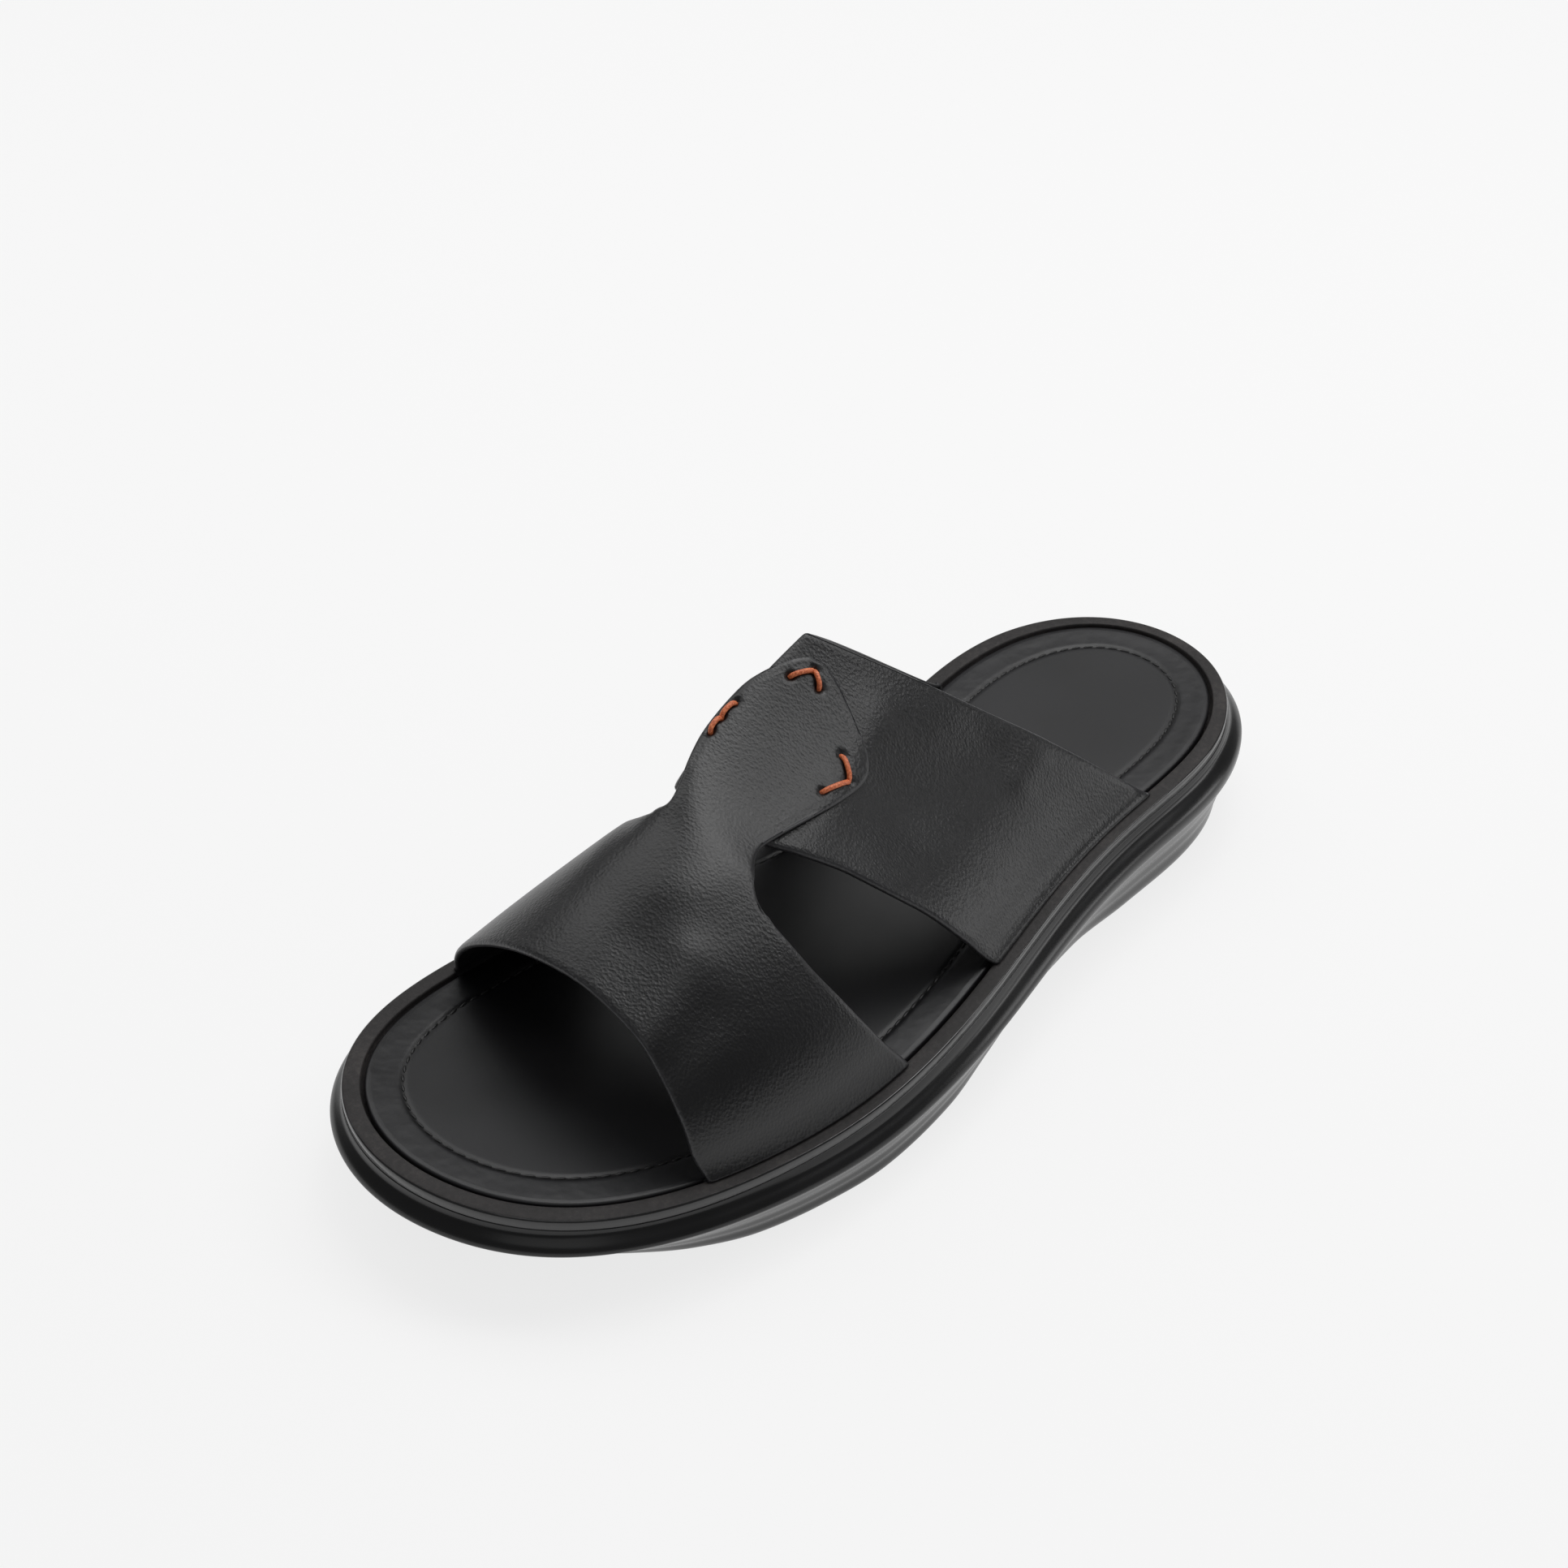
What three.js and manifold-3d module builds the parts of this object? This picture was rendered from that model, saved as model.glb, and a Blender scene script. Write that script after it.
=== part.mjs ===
// A man's left slide sandal: two black leather straps on a rubber sole, standing on the floor.
// Millimetres, +Z up. The toe points to -Y, the outer side of the foot is +X and the floor is z = 0.
import * as THREE from 'three';
import Module from 'manifold-3d';
import { mergeVertices } from 'three/addons/utils/BufferGeometryUtils.js';

// Driving sizes
const INSOLE_LENGTH = 268.1;
const BALL_WIDTH = 97.4;
const HEEL_HEIGHT = 31;
const INSTEP_HEIGHT = 61;

// The insole board, the rim round it and the well that it lies in
const INSOLE_THICK = 2.5;
const INSOLE_EDGE_ROUND = 0.8;
const GROOVE_WIDTH = 0.9;
const RIM_WIDTH = 5.3;
const RIM_STAND = 0.3;
const RIM_ROUND = 0.6;
const RIM_WALL = 3.3;
const RIM_AT_HEEL = 0.86;
const RIM_FULL_FROM = 0.12;
const PLUG_DEPTH = 6;
const PLUG_INSET = 2;

// The rubber outsole
const SOLE_FLARE = 10;
const TREAD_DEPTH = 1.2;
const TREAD_WIDTH = 3;
const TREAD_MARGIN = 9;

// The straps
const STRAP_THICK = 1.8;
const LEG_STAND_OFF = 0.5;
const LEG_DEPTH = 2.3;

const CLEARANCE = 0.35;

// Rows with named columns. The first column is the key, a share of the way along or a stage.
function table(names, rows) {
  const columns = { key: rows.map((row) => row[0]) };
  names.forEach((name, i) => {
    columns[name] = rows.map((row) => row[i + 1]);
  });
  return columns;
}

// The natural cubic spline through the values at rising keys
function splineOf(keys, values) {
  const last = keys.length - 1;
  const bend = new Array(last + 1).fill(0);
  const carry = new Array(last + 1).fill(0);
  for (let i = 1; i < last; i += 1) {
    const before = keys[i] - keys[i - 1];
    const after = keys[i + 1] - keys[i];
    const turn = (values[i + 1] - values[i]) / after - (values[i] - values[i - 1]) / before;
    const pivot = 2 * (before + after) - before * carry[i - 1];
    carry[i] = after / pivot;
    bend[i] = (6 * turn - before * bend[i - 1]) / pivot;
  }
  for (let i = last - 1; i > 0; i -= 1) {
    bend[i] -= carry[i] * bend[i + 1];
  }
  return (key) => {
    let i = 0;
    while (i < last - 1 && key > keys[i + 1]) {
      i += 1;
    }
    const span = keys[i + 1] - keys[i];
    const a = (keys[i + 1] - key) / span;
    const b = 1 - a;
    const curve = ((a ** 3 - a) * bend[i] + (b ** 3 - b) * bend[i + 1]) * (span * span) / 6;
    return a * values[i] + b * values[i + 1] + curve;
  };
}

// A curve through the same values that never passes beyond them, for edges with sharp turns
function steadyOf(keys, values) {
  const slopes = keys.map((key, i) => {
    if (i === 0 || i === keys.length - 1) {
      return 0;
    }
    const before = (values[i] - values[i - 1]) / (key - keys[i - 1]);
    const after = (values[i + 1] - values[i]) / (keys[i + 1] - key);
    return before * after <= 0 ? 0 : (2 * before * after) / (before + after);
  });
  return (key) => {
    let i = 0;
    while (i < keys.length - 2 && key > keys[i + 1]) {
      i += 1;
    }
    const span = keys[i + 1] - keys[i];
    const t = (key - keys[i]) / span;
    const rise = values[i + 1] - values[i];
    const leave = slopes[i] * span;
    const arrive = slopes[i + 1] * span;
    return values[i] + t * (leave + t * (3 * rise - 2 * leave - arrive + t * (leave + arrive - 2 * rise)));
  };
}

function curvesOf(columns, curve) {
  const curves = {};
  for (const name of Object.keys(columns)) {
    if (name !== 'key') {
      curves[name] = curve(columns.key, columns[name]);
    }
  }
  return curves;
}

function smoothstep(from, to, value) {
  const share = Math.min(Math.max((value - from) / (to - from), 0), 1);
  return share * share * (3 - 2 * share);
}

// Outline of the insole: share of its length from the heel, and the outer and inner side from
// the middle line as shares of the ball width
const OUTLINE = table(['outer', 'inner'], [
  [0.0000, 0.000, 0.000],
  [0.0134, 0.142, -0.142],
  [0.0380, 0.228, -0.228],
  [0.0903, 0.311, -0.307],
  [0.1623, 0.350, -0.338],
  [0.2443, 0.361, -0.318],
  [0.3256, 0.383, -0.278],
  [0.4077, 0.424, -0.262],
  [0.4987, 0.479, -0.299],
  [0.5815, 0.516, -0.366],
  [0.6647, 0.528, -0.428],
  [0.7367, 0.511, -0.462],
  [0.8079, 0.473, -0.476],
  [0.8702, 0.418, -0.465],
  [0.9351, 0.315, -0.398],
  [0.9741, 0.191, -0.294],
  [0.9903, 0.090, -0.206],
  [1.0000, -0.065, -0.065],
]);

// Height of the insole's top above the floor, as shares of the heel height
const DECK = curvesOf(table(['top'], [
  [0.00, 1.000],
  [0.10, 0.987],
  [0.19, 0.966],
  [0.32, 0.910],
  [0.45, 0.838],
  [0.58, 0.768],
  [0.70, 0.714],
  [0.78, 0.722],
  [0.86, 0.761],
  [0.93, 0.822],
  [1.00, 0.893],
]), splineOf);

// Where the sole meets the floor: how far its lower edge stands out past the insole, as a share
// of the flare, and how high the arch and the toe spring lift it, as a share of the heel height
const GROUND = curvesOf(table(['out', 'lift'], [
  [0.00, 0.34, 0.000],
  [0.10, 0.42, 0.000],
  [0.24, 0.38, 0.000],
  [0.33, 0.24, 0.025],
  [0.42, 0.24, 0.060],
  [0.50, 0.32, 0.040],
  [0.57, 0.44, 0.000],
  [0.66, 0.50, 0.000],
  [0.73, 0.38, 0.000],
  [0.79, 0.26, 0.018],
  [0.85, 0.04, 0.085],
  [0.90, -0.17, 0.170],
  [0.95, -0.28, 0.265],
  [1.00, -0.20, 0.350],
]), steadyOf);

// Side of the outsole from its lip down to the undercut, at the heel, the ball and the toe:
// out as shares of the flare, down from the insole's top as shares of the height there
const SIDE = [
  { heel: [0.60, 0.130], ball: [0.60, 0.185], toe: [0.56, 0.150] },
  { heel: [0.58, 0.165], ball: [0.62, 0.230], toe: [0.66, 0.185] },
  { heel: [0.82, 0.220], ball: [0.80, 0.290], toe: [0.79, 0.225] },
  { heel: [0.97, 0.275], ball: [0.89, 0.350], toe: [0.86, 0.270] },
  { heel: [0.96, 0.385], ball: [0.89, 0.410], toe: [0.85, 0.305] },
  { heel: [0.83, 0.415], ball: [0.79, 0.445], toe: [0.72, 0.345] },
];
const SIDE_PLACES = { heel: 0.18, ball: 0.66, toe: 0.93 };

// Ribs of the lower wall: share of the way down it, and how far out as a share of the flare
const WALL_RIBS = table(['out'], [
  [0.30, 0.00],
  [0.36, -0.05],
  [0.60, 0.00],
  [0.66, -0.05],
  [0.90, 0.04],
]);

// Form of the foot under the straps, from the toe edge of the front strap (stage 0) through its
// rear edge (2) and the front edge of the rear strap (3) to its rear edge (5). near, crest and
// far are shares of the insole's length from the heel at the outer foot, the crest and the inner
// foot. across is the crest's place as a share of the ball width, rise its height over the insole
// as a share of the instep height, and the last two say how round each side is.
const FORM = curvesOf(table(['near', 'crest', 'far', 'across', 'rise', 'nearRound', 'farRound'], [
  [0.00, 0.8395, 0.8363, 0.8105, 0.0459, 0.5910, 1.90, 1.82],
  [0.50, 0.7806, 0.8006, 0.7575, 0.0055, 0.6586, 1.96, 1.84],
  [1.00, 0.7273, 0.7557, 0.7172, -0.0115, 0.7056, 2.02, 1.86],
  [1.50, 0.6741, 0.7129, 0.6770, -0.0212, 0.7368, 2.04, 1.86],
  [2.00, 0.6154, 0.6836, 0.6238, -0.0398, 0.7572, 1.99, 1.85],
  [2.50, 0.5479, 0.6725, 0.5504, -0.0776, 0.7732, 1.86, 1.81],
  [3.00, 0.4765, 0.6585, 0.4709, -0.1210, 0.7980, 1.69, 1.75],
  [3.50, 0.4066, 0.6211, 0.4005, -0.1543, 0.8419, 1.55, 1.68],
  [4.00, 0.3386, 0.5677, 0.3376, -0.1752, 0.8977, 1.43, 1.59],
  [4.50, 0.2714, 0.5128, 0.2763, -0.1850, 0.9537, 1.33, 1.49],
  [5.00, 0.2039, 0.4709, 0.2107, -0.1851, 0.9984, 1.24, 1.39],
  [5.25, 0.1697, 0.4594, 0.1744, -0.1819, 1.0128, 1.19, 1.34],
]), splineOf);

// Edges of the straps as stages of the form, by the angle round the foot from the outer side
const EDGES = curvesOf(table(['frontToe', 'frontRear', 'rearToe', 'rearHeel'], [
  [0, 0.000, 1.97, 3.000, 5.000],
  [15, -0.050, 1.89, 3.092, 5.037],
  [30, -0.050, 1.82, 3.180, 5.091],
  [45, -0.028, 1.78, 3.196, 5.128],
  [56, -0.012, 1.79, 3.110, 5.120],
  [62, -0.009, 1.86, 3.050, 5.110],
  [67, -0.008, 2.14, 3.000, 5.090],
  [97, -0.015, 2.14, 2.920, 5.019],
  [105, -0.019, 2.14, 2.920, 5.020],
  [112, -0.023, 1.96, 2.925, 5.024],
  [120, -0.028, 1.93, 2.930, 5.026],
  [135, -0.039, 1.93, 2.948, 5.015],
  [150, -0.043, 1.93, 2.952, 4.998],
  [165, -0.033, 1.94, 2.957, 4.990],
  [180, 0.000, 1.96, 3.000, 5.000],
]), steadyOf);
const NECK = { near: 67, far: 105, stage: 2.14 };

// Outline of the neck and the tab behind the front strap: stage, and the angles of its two sides
const TAB = [
  { stage: 2.40, near: 66.8, far: 101.0 },
  { stage: 2.65, near: 65.9, far: 95.6 },
  { stage: 2.90, near: 64.1, far: 91.8 },
  { stage: 3.15, near: 61.0, far: 90.6 },
  { stage: 3.37, near: 58.0, far: 91.6 },
  { stage: 3.57, near: 55.4, far: 93.6 },
  { stage: 3.72, near: 53.8, far: 95.2 },
  { stage: 3.86, near: 52.8, far: 96.2 },
  { stage: 4.00, near: 53.0, far: 96.2 },
  { stage: 4.15, near: 55.6, far: 94.6 },
  { stage: 4.30, near: 59.6, far: 91.4 },
  { stage: 4.44, near: 63.6, far: 87.6 },
  { stage: 4.57, near: 67.8, far: 83.6 },
  { stage: 4.66, near: 71.4, far: 80.6 },
  { stage: 4.71, near: 74.4, far: 78.2 },
];
// The front strap climbs over the rear strap between these stages, at the neck and at the angles
// up to this far beside it
const CLIMB = { from: 0.3, to: 2.3, beside: 28 };
// It also swells upwards at the crest in front of the rear strap: height in millimetres, middle as
// a share of the insole's length, reach in millimetres, and the angles where it begins, is full and ends
const SWELL = { height: 2.8, along: 0.701, reach: 15, begin: 62, full: 88, keep: 112, end: 150 };

const yAt = (along) => INSOLE_LENGTH * (0.5 - along);
const alongAt = (y) => 0.5 - y / INSOLE_LENGTH;
const deckTop = (y) => HEEL_HEIGHT * DECK.top(Math.min(Math.max(alongAt(y), 0), 1));

// The insole's outline as a closed ring: heel, outer side, toe, inner side. It has more points
// between the rows at the heel and at the toe.
const TIGHT_ROWS = { heel: 3, toe: 4 };
const TIGHT_STEPS = 3;
const EASY_STEPS = 2;

function ringOfOutline() {
  const rows = OUTLINE.key.length;
  const control = [];
  for (let i = 0; i < rows; i += 1) {
    control.push(new THREE.Vector3(OUTLINE.outer[i] * BALL_WIDTH, yAt(OUTLINE.key[i]), 0));
  }
  for (let i = rows - 2; i > 0; i -= 1) {
    control.push(new THREE.Vector3(OUTLINE.inner[i] * BALL_WIDTH, yAt(OUTLINE.key[i]), 0));
  }
  const curve = new THREE.CatmullRomCurve3(control, true);
  const ring = [];
  for (let i = 0; i < control.length; i += 1) {
    const row = Math.min(i, control.length - 1 - i);
    const tight = row < TIGHT_ROWS.heel || row >= rows - TIGHT_ROWS.toe;
    const steps = tight ? TIGHT_STEPS : EASY_STEPS;
    for (let k = 0; k < steps; k += 1) {
      const share = (i + k / steps) / control.length;
      const point = curve.getPoint(share);
      const run = curve.getTangent(share);
      ring.push({ x: point.x, y: point.y, outX: -run.y, outY: run.x });
    }
  }
  return ring;
}

const RING = ringOfOutline();
const OUTER_SIDE = splineOf(OUTLINE.key, OUTLINE.outer);
const INNER_SIDE = splineOf(OUTLINE.key, OUTLINE.inner);

// A point off the insole's edge: out from it, and down from the insole's top
function edgePoint(spot, out, down) {
  const x = spot.x + spot.outX * out;
  const y = spot.y + spot.outY * out;
  return new THREE.Vector3(x, y, deckTop(spot.y) - down);
}

// The rim is narrower round the back of the heel
function rimWidth(spot) {
  return RIM_WIDTH * THREE.MathUtils.lerp(RIM_AT_HEEL, 1, smoothstep(0, RIM_FULL_FROM, alongAt(spot.y)));
}

// Closed solid through rings of the same count, from the first ring to the last. Each end is
// closed by a strip between its outer and inner sides.
function loft(rings) {
  const count = rings[0].length;
  const positions = [];
  for (const ring of rings) {
    for (const point of ring) {
      positions.push(point.x, point.y, point.z);
    }
  }
  const index = [];
  for (let r = 0; r + 1 < rings.length; r += 1) {
    for (let i = 0; i < count; i += 1) {
      const next = (i + 1) % count;
      const a = r * count + i;
      const b = r * count + next;
      const c = (r + 1) * count + next;
      const d = (r + 1) * count + i;
      index.push(a, b, d, b, c, d);
    }
  }
  const closeEnd = (start, up) => {
    for (let i = 0; i < count / 2; i += 1) {
      const a = start + i;
      const b = start + i + 1;
      const c = start + ((count - i - 1) % count);
      const d = start + ((count - i) % count);
      for (const [p, q, r] of [[a, b, c], [a, c, d]]) {
        if (p !== q && q !== r && p !== r) {
          index.push(...(up ? [p, r, q] : [p, q, r]));
        }
      }
    }
  };
  closeEnd(0, true);
  closeEnd((rings.length - 1) * count, false);
  const geometry = new THREE.BufferGeometry();
  geometry.setAttribute('position', new THREE.Float32BufferAttribute(positions, 3));
  geometry.setIndex(index);
  return geometry;
}

// Booleans
const MERGE_WITHIN = 1e-4;
const wasm = await Module();
wasm.setup();

function solidOf(geometry) {
  const bare = geometry.clone();
  bare.deleteAttribute('normal');
  bare.deleteAttribute('uv');
  const merged = mergeVertices(bare, MERGE_WITHIN);
  return new wasm.Manifold(new wasm.Mesh({
    numProp: 3,
    vertProperties: Float32Array.from(merged.attributes.position.array),
    triVerts: Uint32Array.from(merged.index.array),
  }));
}

function geometryOf(solid) {
  const mesh = solid.getMesh();
  const geometry = new THREE.BufferGeometry();
  geometry.setAttribute('position', new THREE.Float32BufferAttribute(mesh.vertProperties, 3));
  geometry.setIndex(Array.from(mesh.triVerts));
  return geometry;
}

function cut(geometry, tools) {
  let solid = solidOf(geometry);
  for (const tool of tools) {
    solid = solid.subtract(solidOf(tool));
  }
  return geometryOf(solid);
}

// The angle where the form is highest. Angles run from 0 at the outer side to 180 at the inner.
const CREST = 90;

// The turn up to the crest and down again, as half a circle in radians
function turnOf(degrees) {
  const held = Math.min(Math.max(degrees, 0), 180);
  const quarters = held < CREST ? held / CREST : 2 - (180 - held) / (180 - CREST);
  return (quarters * Math.PI) / 2;
}

// The surface of the form at a stage and an angle in degrees round the foot
function formPoint(stage, degrees) {
  const angle = turnOf(degrees);
  const side = Math.cos(angle);
  const near = side >= 0;
  const power = 2 / (near ? FORM.nearRound(stage) : FORM.farRound(stage));
  const spread = Math.abs(side) ** power;
  const climb = Math.sin(angle) ** power;
  const footAlong = near ? FORM.near(stage) : FORM.far(stage);
  const footY = yAt(footAlong);
  const y = footY + (yAt(FORM.crest(stage)) - footY) * climb;
  const crestX = FORM.across(stage) * BALL_WIDTH;
  const footX = near
    ? OUTER_SIDE(footAlong) * BALL_WIDTH + LEG_STAND_OFF
    : INNER_SIDE(footAlong) * BALL_WIDTH - LEG_STAND_OFF;
  const x = crestX + (footX - crestX) * spread;
  const z = deckTop(footY) + FORM.rise(stage) * INSTEP_HEIGHT * climb;
  return new THREE.Vector3(x, y, z);
}

// The way out of the form there, taken over a short span so that it turns gently at the crest
const NORMAL_DEGREES = 4;
const NORMAL_STAGES = 0.03;

function formNormal(stage, degrees) {
  const round = formPoint(stage, degrees + NORMAL_DEGREES).sub(formPoint(stage, degrees - NORMAL_DEGREES));
  const along = formPoint(stage + NORMAL_STAGES, degrees).sub(formPoint(stage - NORMAL_STAGES, degrees));
  return along.cross(round).normalize();
}

// A strap from a sheet of points, the ways out of the form there and its four-cornered faces,
// thickened inwards. grow makes the same strap fatter all round, which cuts the clearance round
// it in its neighbours.
function thicken({ points, normals, faces }, wall, grow) {
  const edges = new Map();
  for (const face of faces) {
    face.forEach((from, k) => {
      const to = face[(k + 1) % 4];
      if (!edges.delete(`${to}_${from}`)) {
        edges.set(`${from}_${to}`, [from, to]);
      }
    });
  }
  const outward = points.map(() => new THREE.Vector3());
  for (const [from, to] of edges.values()) {
    const run = points[to].clone().sub(points[from]).normalize();
    outward[from].add(run.clone().cross(normals[from]));
    outward[to].add(run.clone().cross(normals[to]));
  }
  const positions = [];
  for (const depth of [-grow, wall + grow]) {
    points.forEach((point, i) => {
      const edge = outward[i].lengthSq() > 0 ? outward[i].clone().normalize() : outward[i];
      const place = point.clone().addScaledVector(normals[i], -depth).addScaledVector(edge, grow);
      positions.push(place.x, place.y, place.z);
    });
  }
  const count = points.length;
  const index = [];
  for (const [a, b, c, d] of faces) {
    index.push(a, b, c, a, c, d);
    index.push(a + count, c + count, b + count, a + count, d + count, c + count);
  }
  for (const [from, to] of edges.values()) {
    index.push(from, from + count, to, to, from + count, to + count);
  }
  const geometry = new THREE.BufferGeometry();
  geometry.setAttribute('position', new THREE.Float32BufferAttribute(positions, 3));
  geometry.setIndex(index);
  return geometry;
}

function spread(from, to, steps) {
  return Array.from({ length: steps + 1 }, (_, i) => from + (to - from) * (i / steps));
}

// Angles across the neck or the tab, with a line on the crest where they pass well over it, and
// so many of the steps beyond it
const BESIDE_CREST = 1;
const PAST_CREST_STEPS = 2;

function acrossNeck(near, far) {
  const even = spread(near, far, NECK_STEPS);
  if (far < CREST + BESIDE_CREST) return even;
  return [...spread(near, CREST, NECK_STEPS - PAST_CREST_STEPS), ...spread(CREST, far, PAST_CREST_STEPS).slice(1)];
}

// Angles of the columns round the foot, closer together at the neck, with lines on its edges
// and on the crest
const SIDES = { near: 46, nearSteps: 8, far: 121, farSteps: 9 };
const TURNS = { nearSteps: 6, farSteps: 5 };
const NECK_STEPS = 8;
const ANGLES_TO_NECK = [
  ...spread(0, SIDES.near, SIDES.nearSteps),
  ...spread(SIDES.near, NECK.near, TURNS.nearSteps).slice(1),
];
const ANGLES = [
  ...ANGLES_TO_NECK,
  ...acrossNeck(NECK.near, NECK.far).slice(1),
  ...spread(NECK.far, SIDES.far, TURNS.farSteps).slice(1),
  ...spread(SIDES.far, 180, SIDES.farSteps).slice(1),
];
// Each leg goes on below the insole's top by these shares of its depth
const LEG_SHARES = [1, 0.5];

// A band over the foot between two edges, with its legs
function band(fromEdge, toEdge, rows, place) {
  const points = [];
  const normals = [];
  const columns = [];
  for (const share of LEG_SHARES) {
    columns.push({ angle: 0, sink: share * LEG_DEPTH });
  }
  for (const angle of ANGLES) {
    columns.push({ angle, sink: 0 });
  }
  for (const share of [...LEG_SHARES].reverse()) {
    columns.push({ angle: 180, sink: share * LEG_DEPTH });
  }
  for (const { angle, sink } of columns) {
    for (let row = 0; row <= rows; row += 1) {
      const stage = THREE.MathUtils.lerp(fromEdge(angle), toEdge(angle), row / rows);
      const point = place(stage, angle);
      point.z -= sink;
      points.push(point);
      normals.push(formNormal(stage, angle));
    }
  }
  const faces = [];
  for (let column = 0; column + 1 < columns.length; column += 1) {
    for (let row = 0; row < rows; row += 1) {
      const a = column * (rows + 1) + row;
      faces.push([a, a + 1, a + rows + 2, a + rows + 1]);
    }
  }
  return { points, normals, faces };
}

// The front strap lies over the rear one by its wall and the clearance
function overlapPoint(stage, angle) {
  const past = Math.max(NECK.near - angle, angle - NECK.far, 0);
  const inNeck = 1 - smoothstep(0, CLIMB.beside, past);
  const onTop = smoothstep(CLIMB.from, CLIMB.to, stage);
  const reach = stage > NECK.stage ? 1 : inNeck;
  const lift = (STRAP_THICK + CLEARANCE) * onTop * reach;
  const point = formPoint(stage, angle).addScaledVector(formNormal(stage, angle), lift);
  const across = smoothstep(SWELL.begin, SWELL.full, angle) * (1 - smoothstep(SWELL.keep, SWELL.end, angle));
  point.z += SWELL.height * across * Math.exp(-(((point.y - yAt(SWELL.along)) / SWELL.reach) ** 2));
  return point;
}

const BAND_ROWS = 10;
const REAR_ROWS = 11;

function frontStrap(grow) {
  const sheet = band(EDGES.frontToe, EDGES.frontRear, BAND_ROWS, overlapPoint);
  const firstNeck = LEG_SHARES.length + ANGLES_TO_NECK.length - 1;
  let previous = spread(0, NECK_STEPS, NECK_STEPS).map((k) => (firstNeck + k) * (BAND_ROWS + 1) + BAND_ROWS);
  for (const { stage, near, far } of TAB) {
    const row = acrossNeck(near, far).map((angle) => {
      sheet.points.push(overlapPoint(stage, angle));
      sheet.normals.push(formNormal(stage, angle));
      return sheet.points.length - 1;
    });
    for (let k = 0; k < NECK_STEPS; k += 1) {
      sheet.faces.push([previous[k], row[k], row[k + 1], previous[k + 1]]);
    }
    previous = row;
  }
  return thicken(sheet, STRAP_THICK, grow);
}

function rearStrap(grow) {
  const sheet = band(EDGES.rearToe, EDGES.rearHeel, REAR_ROWS, formPoint);
  return thicken(sheet, STRAP_THICK, grow);
}

// The insole: a board with a rounded top edge, let in where the straps go down beside it
function insole(legs) {
  const profile = [
    [-INSOLE_EDGE_ROUND, 0],
    [0, INSOLE_EDGE_ROUND],
    [0, INSOLE_THICK],
  ];
  const board = loft(profile.map(([out, down]) => RING.map((spot) => edgePoint(spot, out, down))));
  return cut(board, legs);
}

// The midsole: the flat rim round the insole, the floor of the well, and a plug in the outsole
function midsole(legs) {
  const floor = INSOLE_THICK + CLEARANCE;
  const profile = [
    [-PLUG_INSET, floor],
    [GROOVE_WIDTH, floor],
    [GROOVE_WIDTH, -RIM_STAND],
    [RIM_WIDTH - RIM_ROUND, -RIM_STAND],
    [RIM_WIDTH, RIM_ROUND - RIM_STAND],
    [RIM_WIDTH, RIM_WALL],
    [-PLUG_INSET, RIM_WALL],
    [-PLUG_INSET, PLUG_DEPTH],
  ];
  const place = (spot, out, down) => {
    const drawn = out > GROOVE_WIDTH ? out - RIM_WIDTH + rimWidth(spot) : out;
    return edgePoint(spot, drawn, down);
  };
  const body = loft(profile.map(([out, down]) => RING.map((spot) => place(spot, out, down))));
  return cut(body, legs);
}

// The outsole's side at a place along the foot, as out and down in millimetres
function sidePoint(row, along, height) {
  const { heel, ball, toe } = SIDE_PLACES;
  const toBall = smoothstep(heel, ball, along);
  const toToe = smoothstep(ball, toe, along);
  const mix = (k) => {
    const first = THREE.MathUtils.lerp(row.heel[k], row.ball[k], toBall);
    return THREE.MathUtils.lerp(first, row.toe[k], toToe);
  };
  return [mix(0) * SOLE_FLARE, mix(1) * height];
}

// Side of the outsole at one spot of the ring, from its top down to the floor
function soleSide(spot) {
  const along = Math.min(Math.max(alongAt(spot.y), 0), 1);
  const top = deckTop(spot.y);
  const points = [[rimWidth(spot), RIM_WALL + CLEARANCE]];
  points.push(...SIDE.map((row) => sidePoint(row, along, top)));
  const [undercutOut, undercutDown] = points[points.length - 1];
  const footOut = GROUND.out(along) * SOLE_FLARE;
  const footDown = top - Math.max(GROUND.lift(along), 0) * HEEL_HEIGHT;
  WALL_RIBS.key.forEach((share, i) => {
    const out = THREE.MathUtils.lerp(undercutOut, footOut, share) + WALL_RIBS.out[i] * SOLE_FLARE;
    points.push([out, THREE.MathUtils.lerp(undercutDown, footDown, share)]);
  });
  points.push([footOut, footDown]);
  return points;
}

// Straight grooves across the tread, where the sole is flat on the floor
const TREAD_PLACES = [0.05, 0.10, 0.15, 0.20, 0.60, 0.65, 0.70, 0.75];

function treadGroove(along) {
  const length = (OUTER_SIDE(along) - INNER_SIDE(along)) * BALL_WIDTH - 2 * TREAD_MARGIN;
  const middle = (OUTER_SIDE(along) + INNER_SIDE(along)) * BALL_WIDTH / 2;
  const groove = new THREE.BoxGeometry(length, TREAD_WIDTH, 2 * TREAD_DEPTH);
  groove.translate(middle, yAt(along), 0);
  return groove;
}

function outsole() {
  const sides = RING.map(soleSide);
  const pocketOut = -PLUG_INSET + CLEARANCE;
  const pocket = [
    [pocketOut, PLUG_DEPTH + CLEARANCE],
    [pocketOut, RIM_WALL + CLEARANCE],
  ];
  const rings = pocket.map(([out, down]) => RING.map((spot) => edgePoint(spot, out, down)));
  for (let row = 0; row < sides[0].length; row += 1) {
    rings.push(RING.map((spot, i) => edgePoint(spot, sides[i][row][0], sides[i][row][1])));
  }
  return cut(loft(rings), TREAD_PLACES.map(treadGroove));
}

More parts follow.
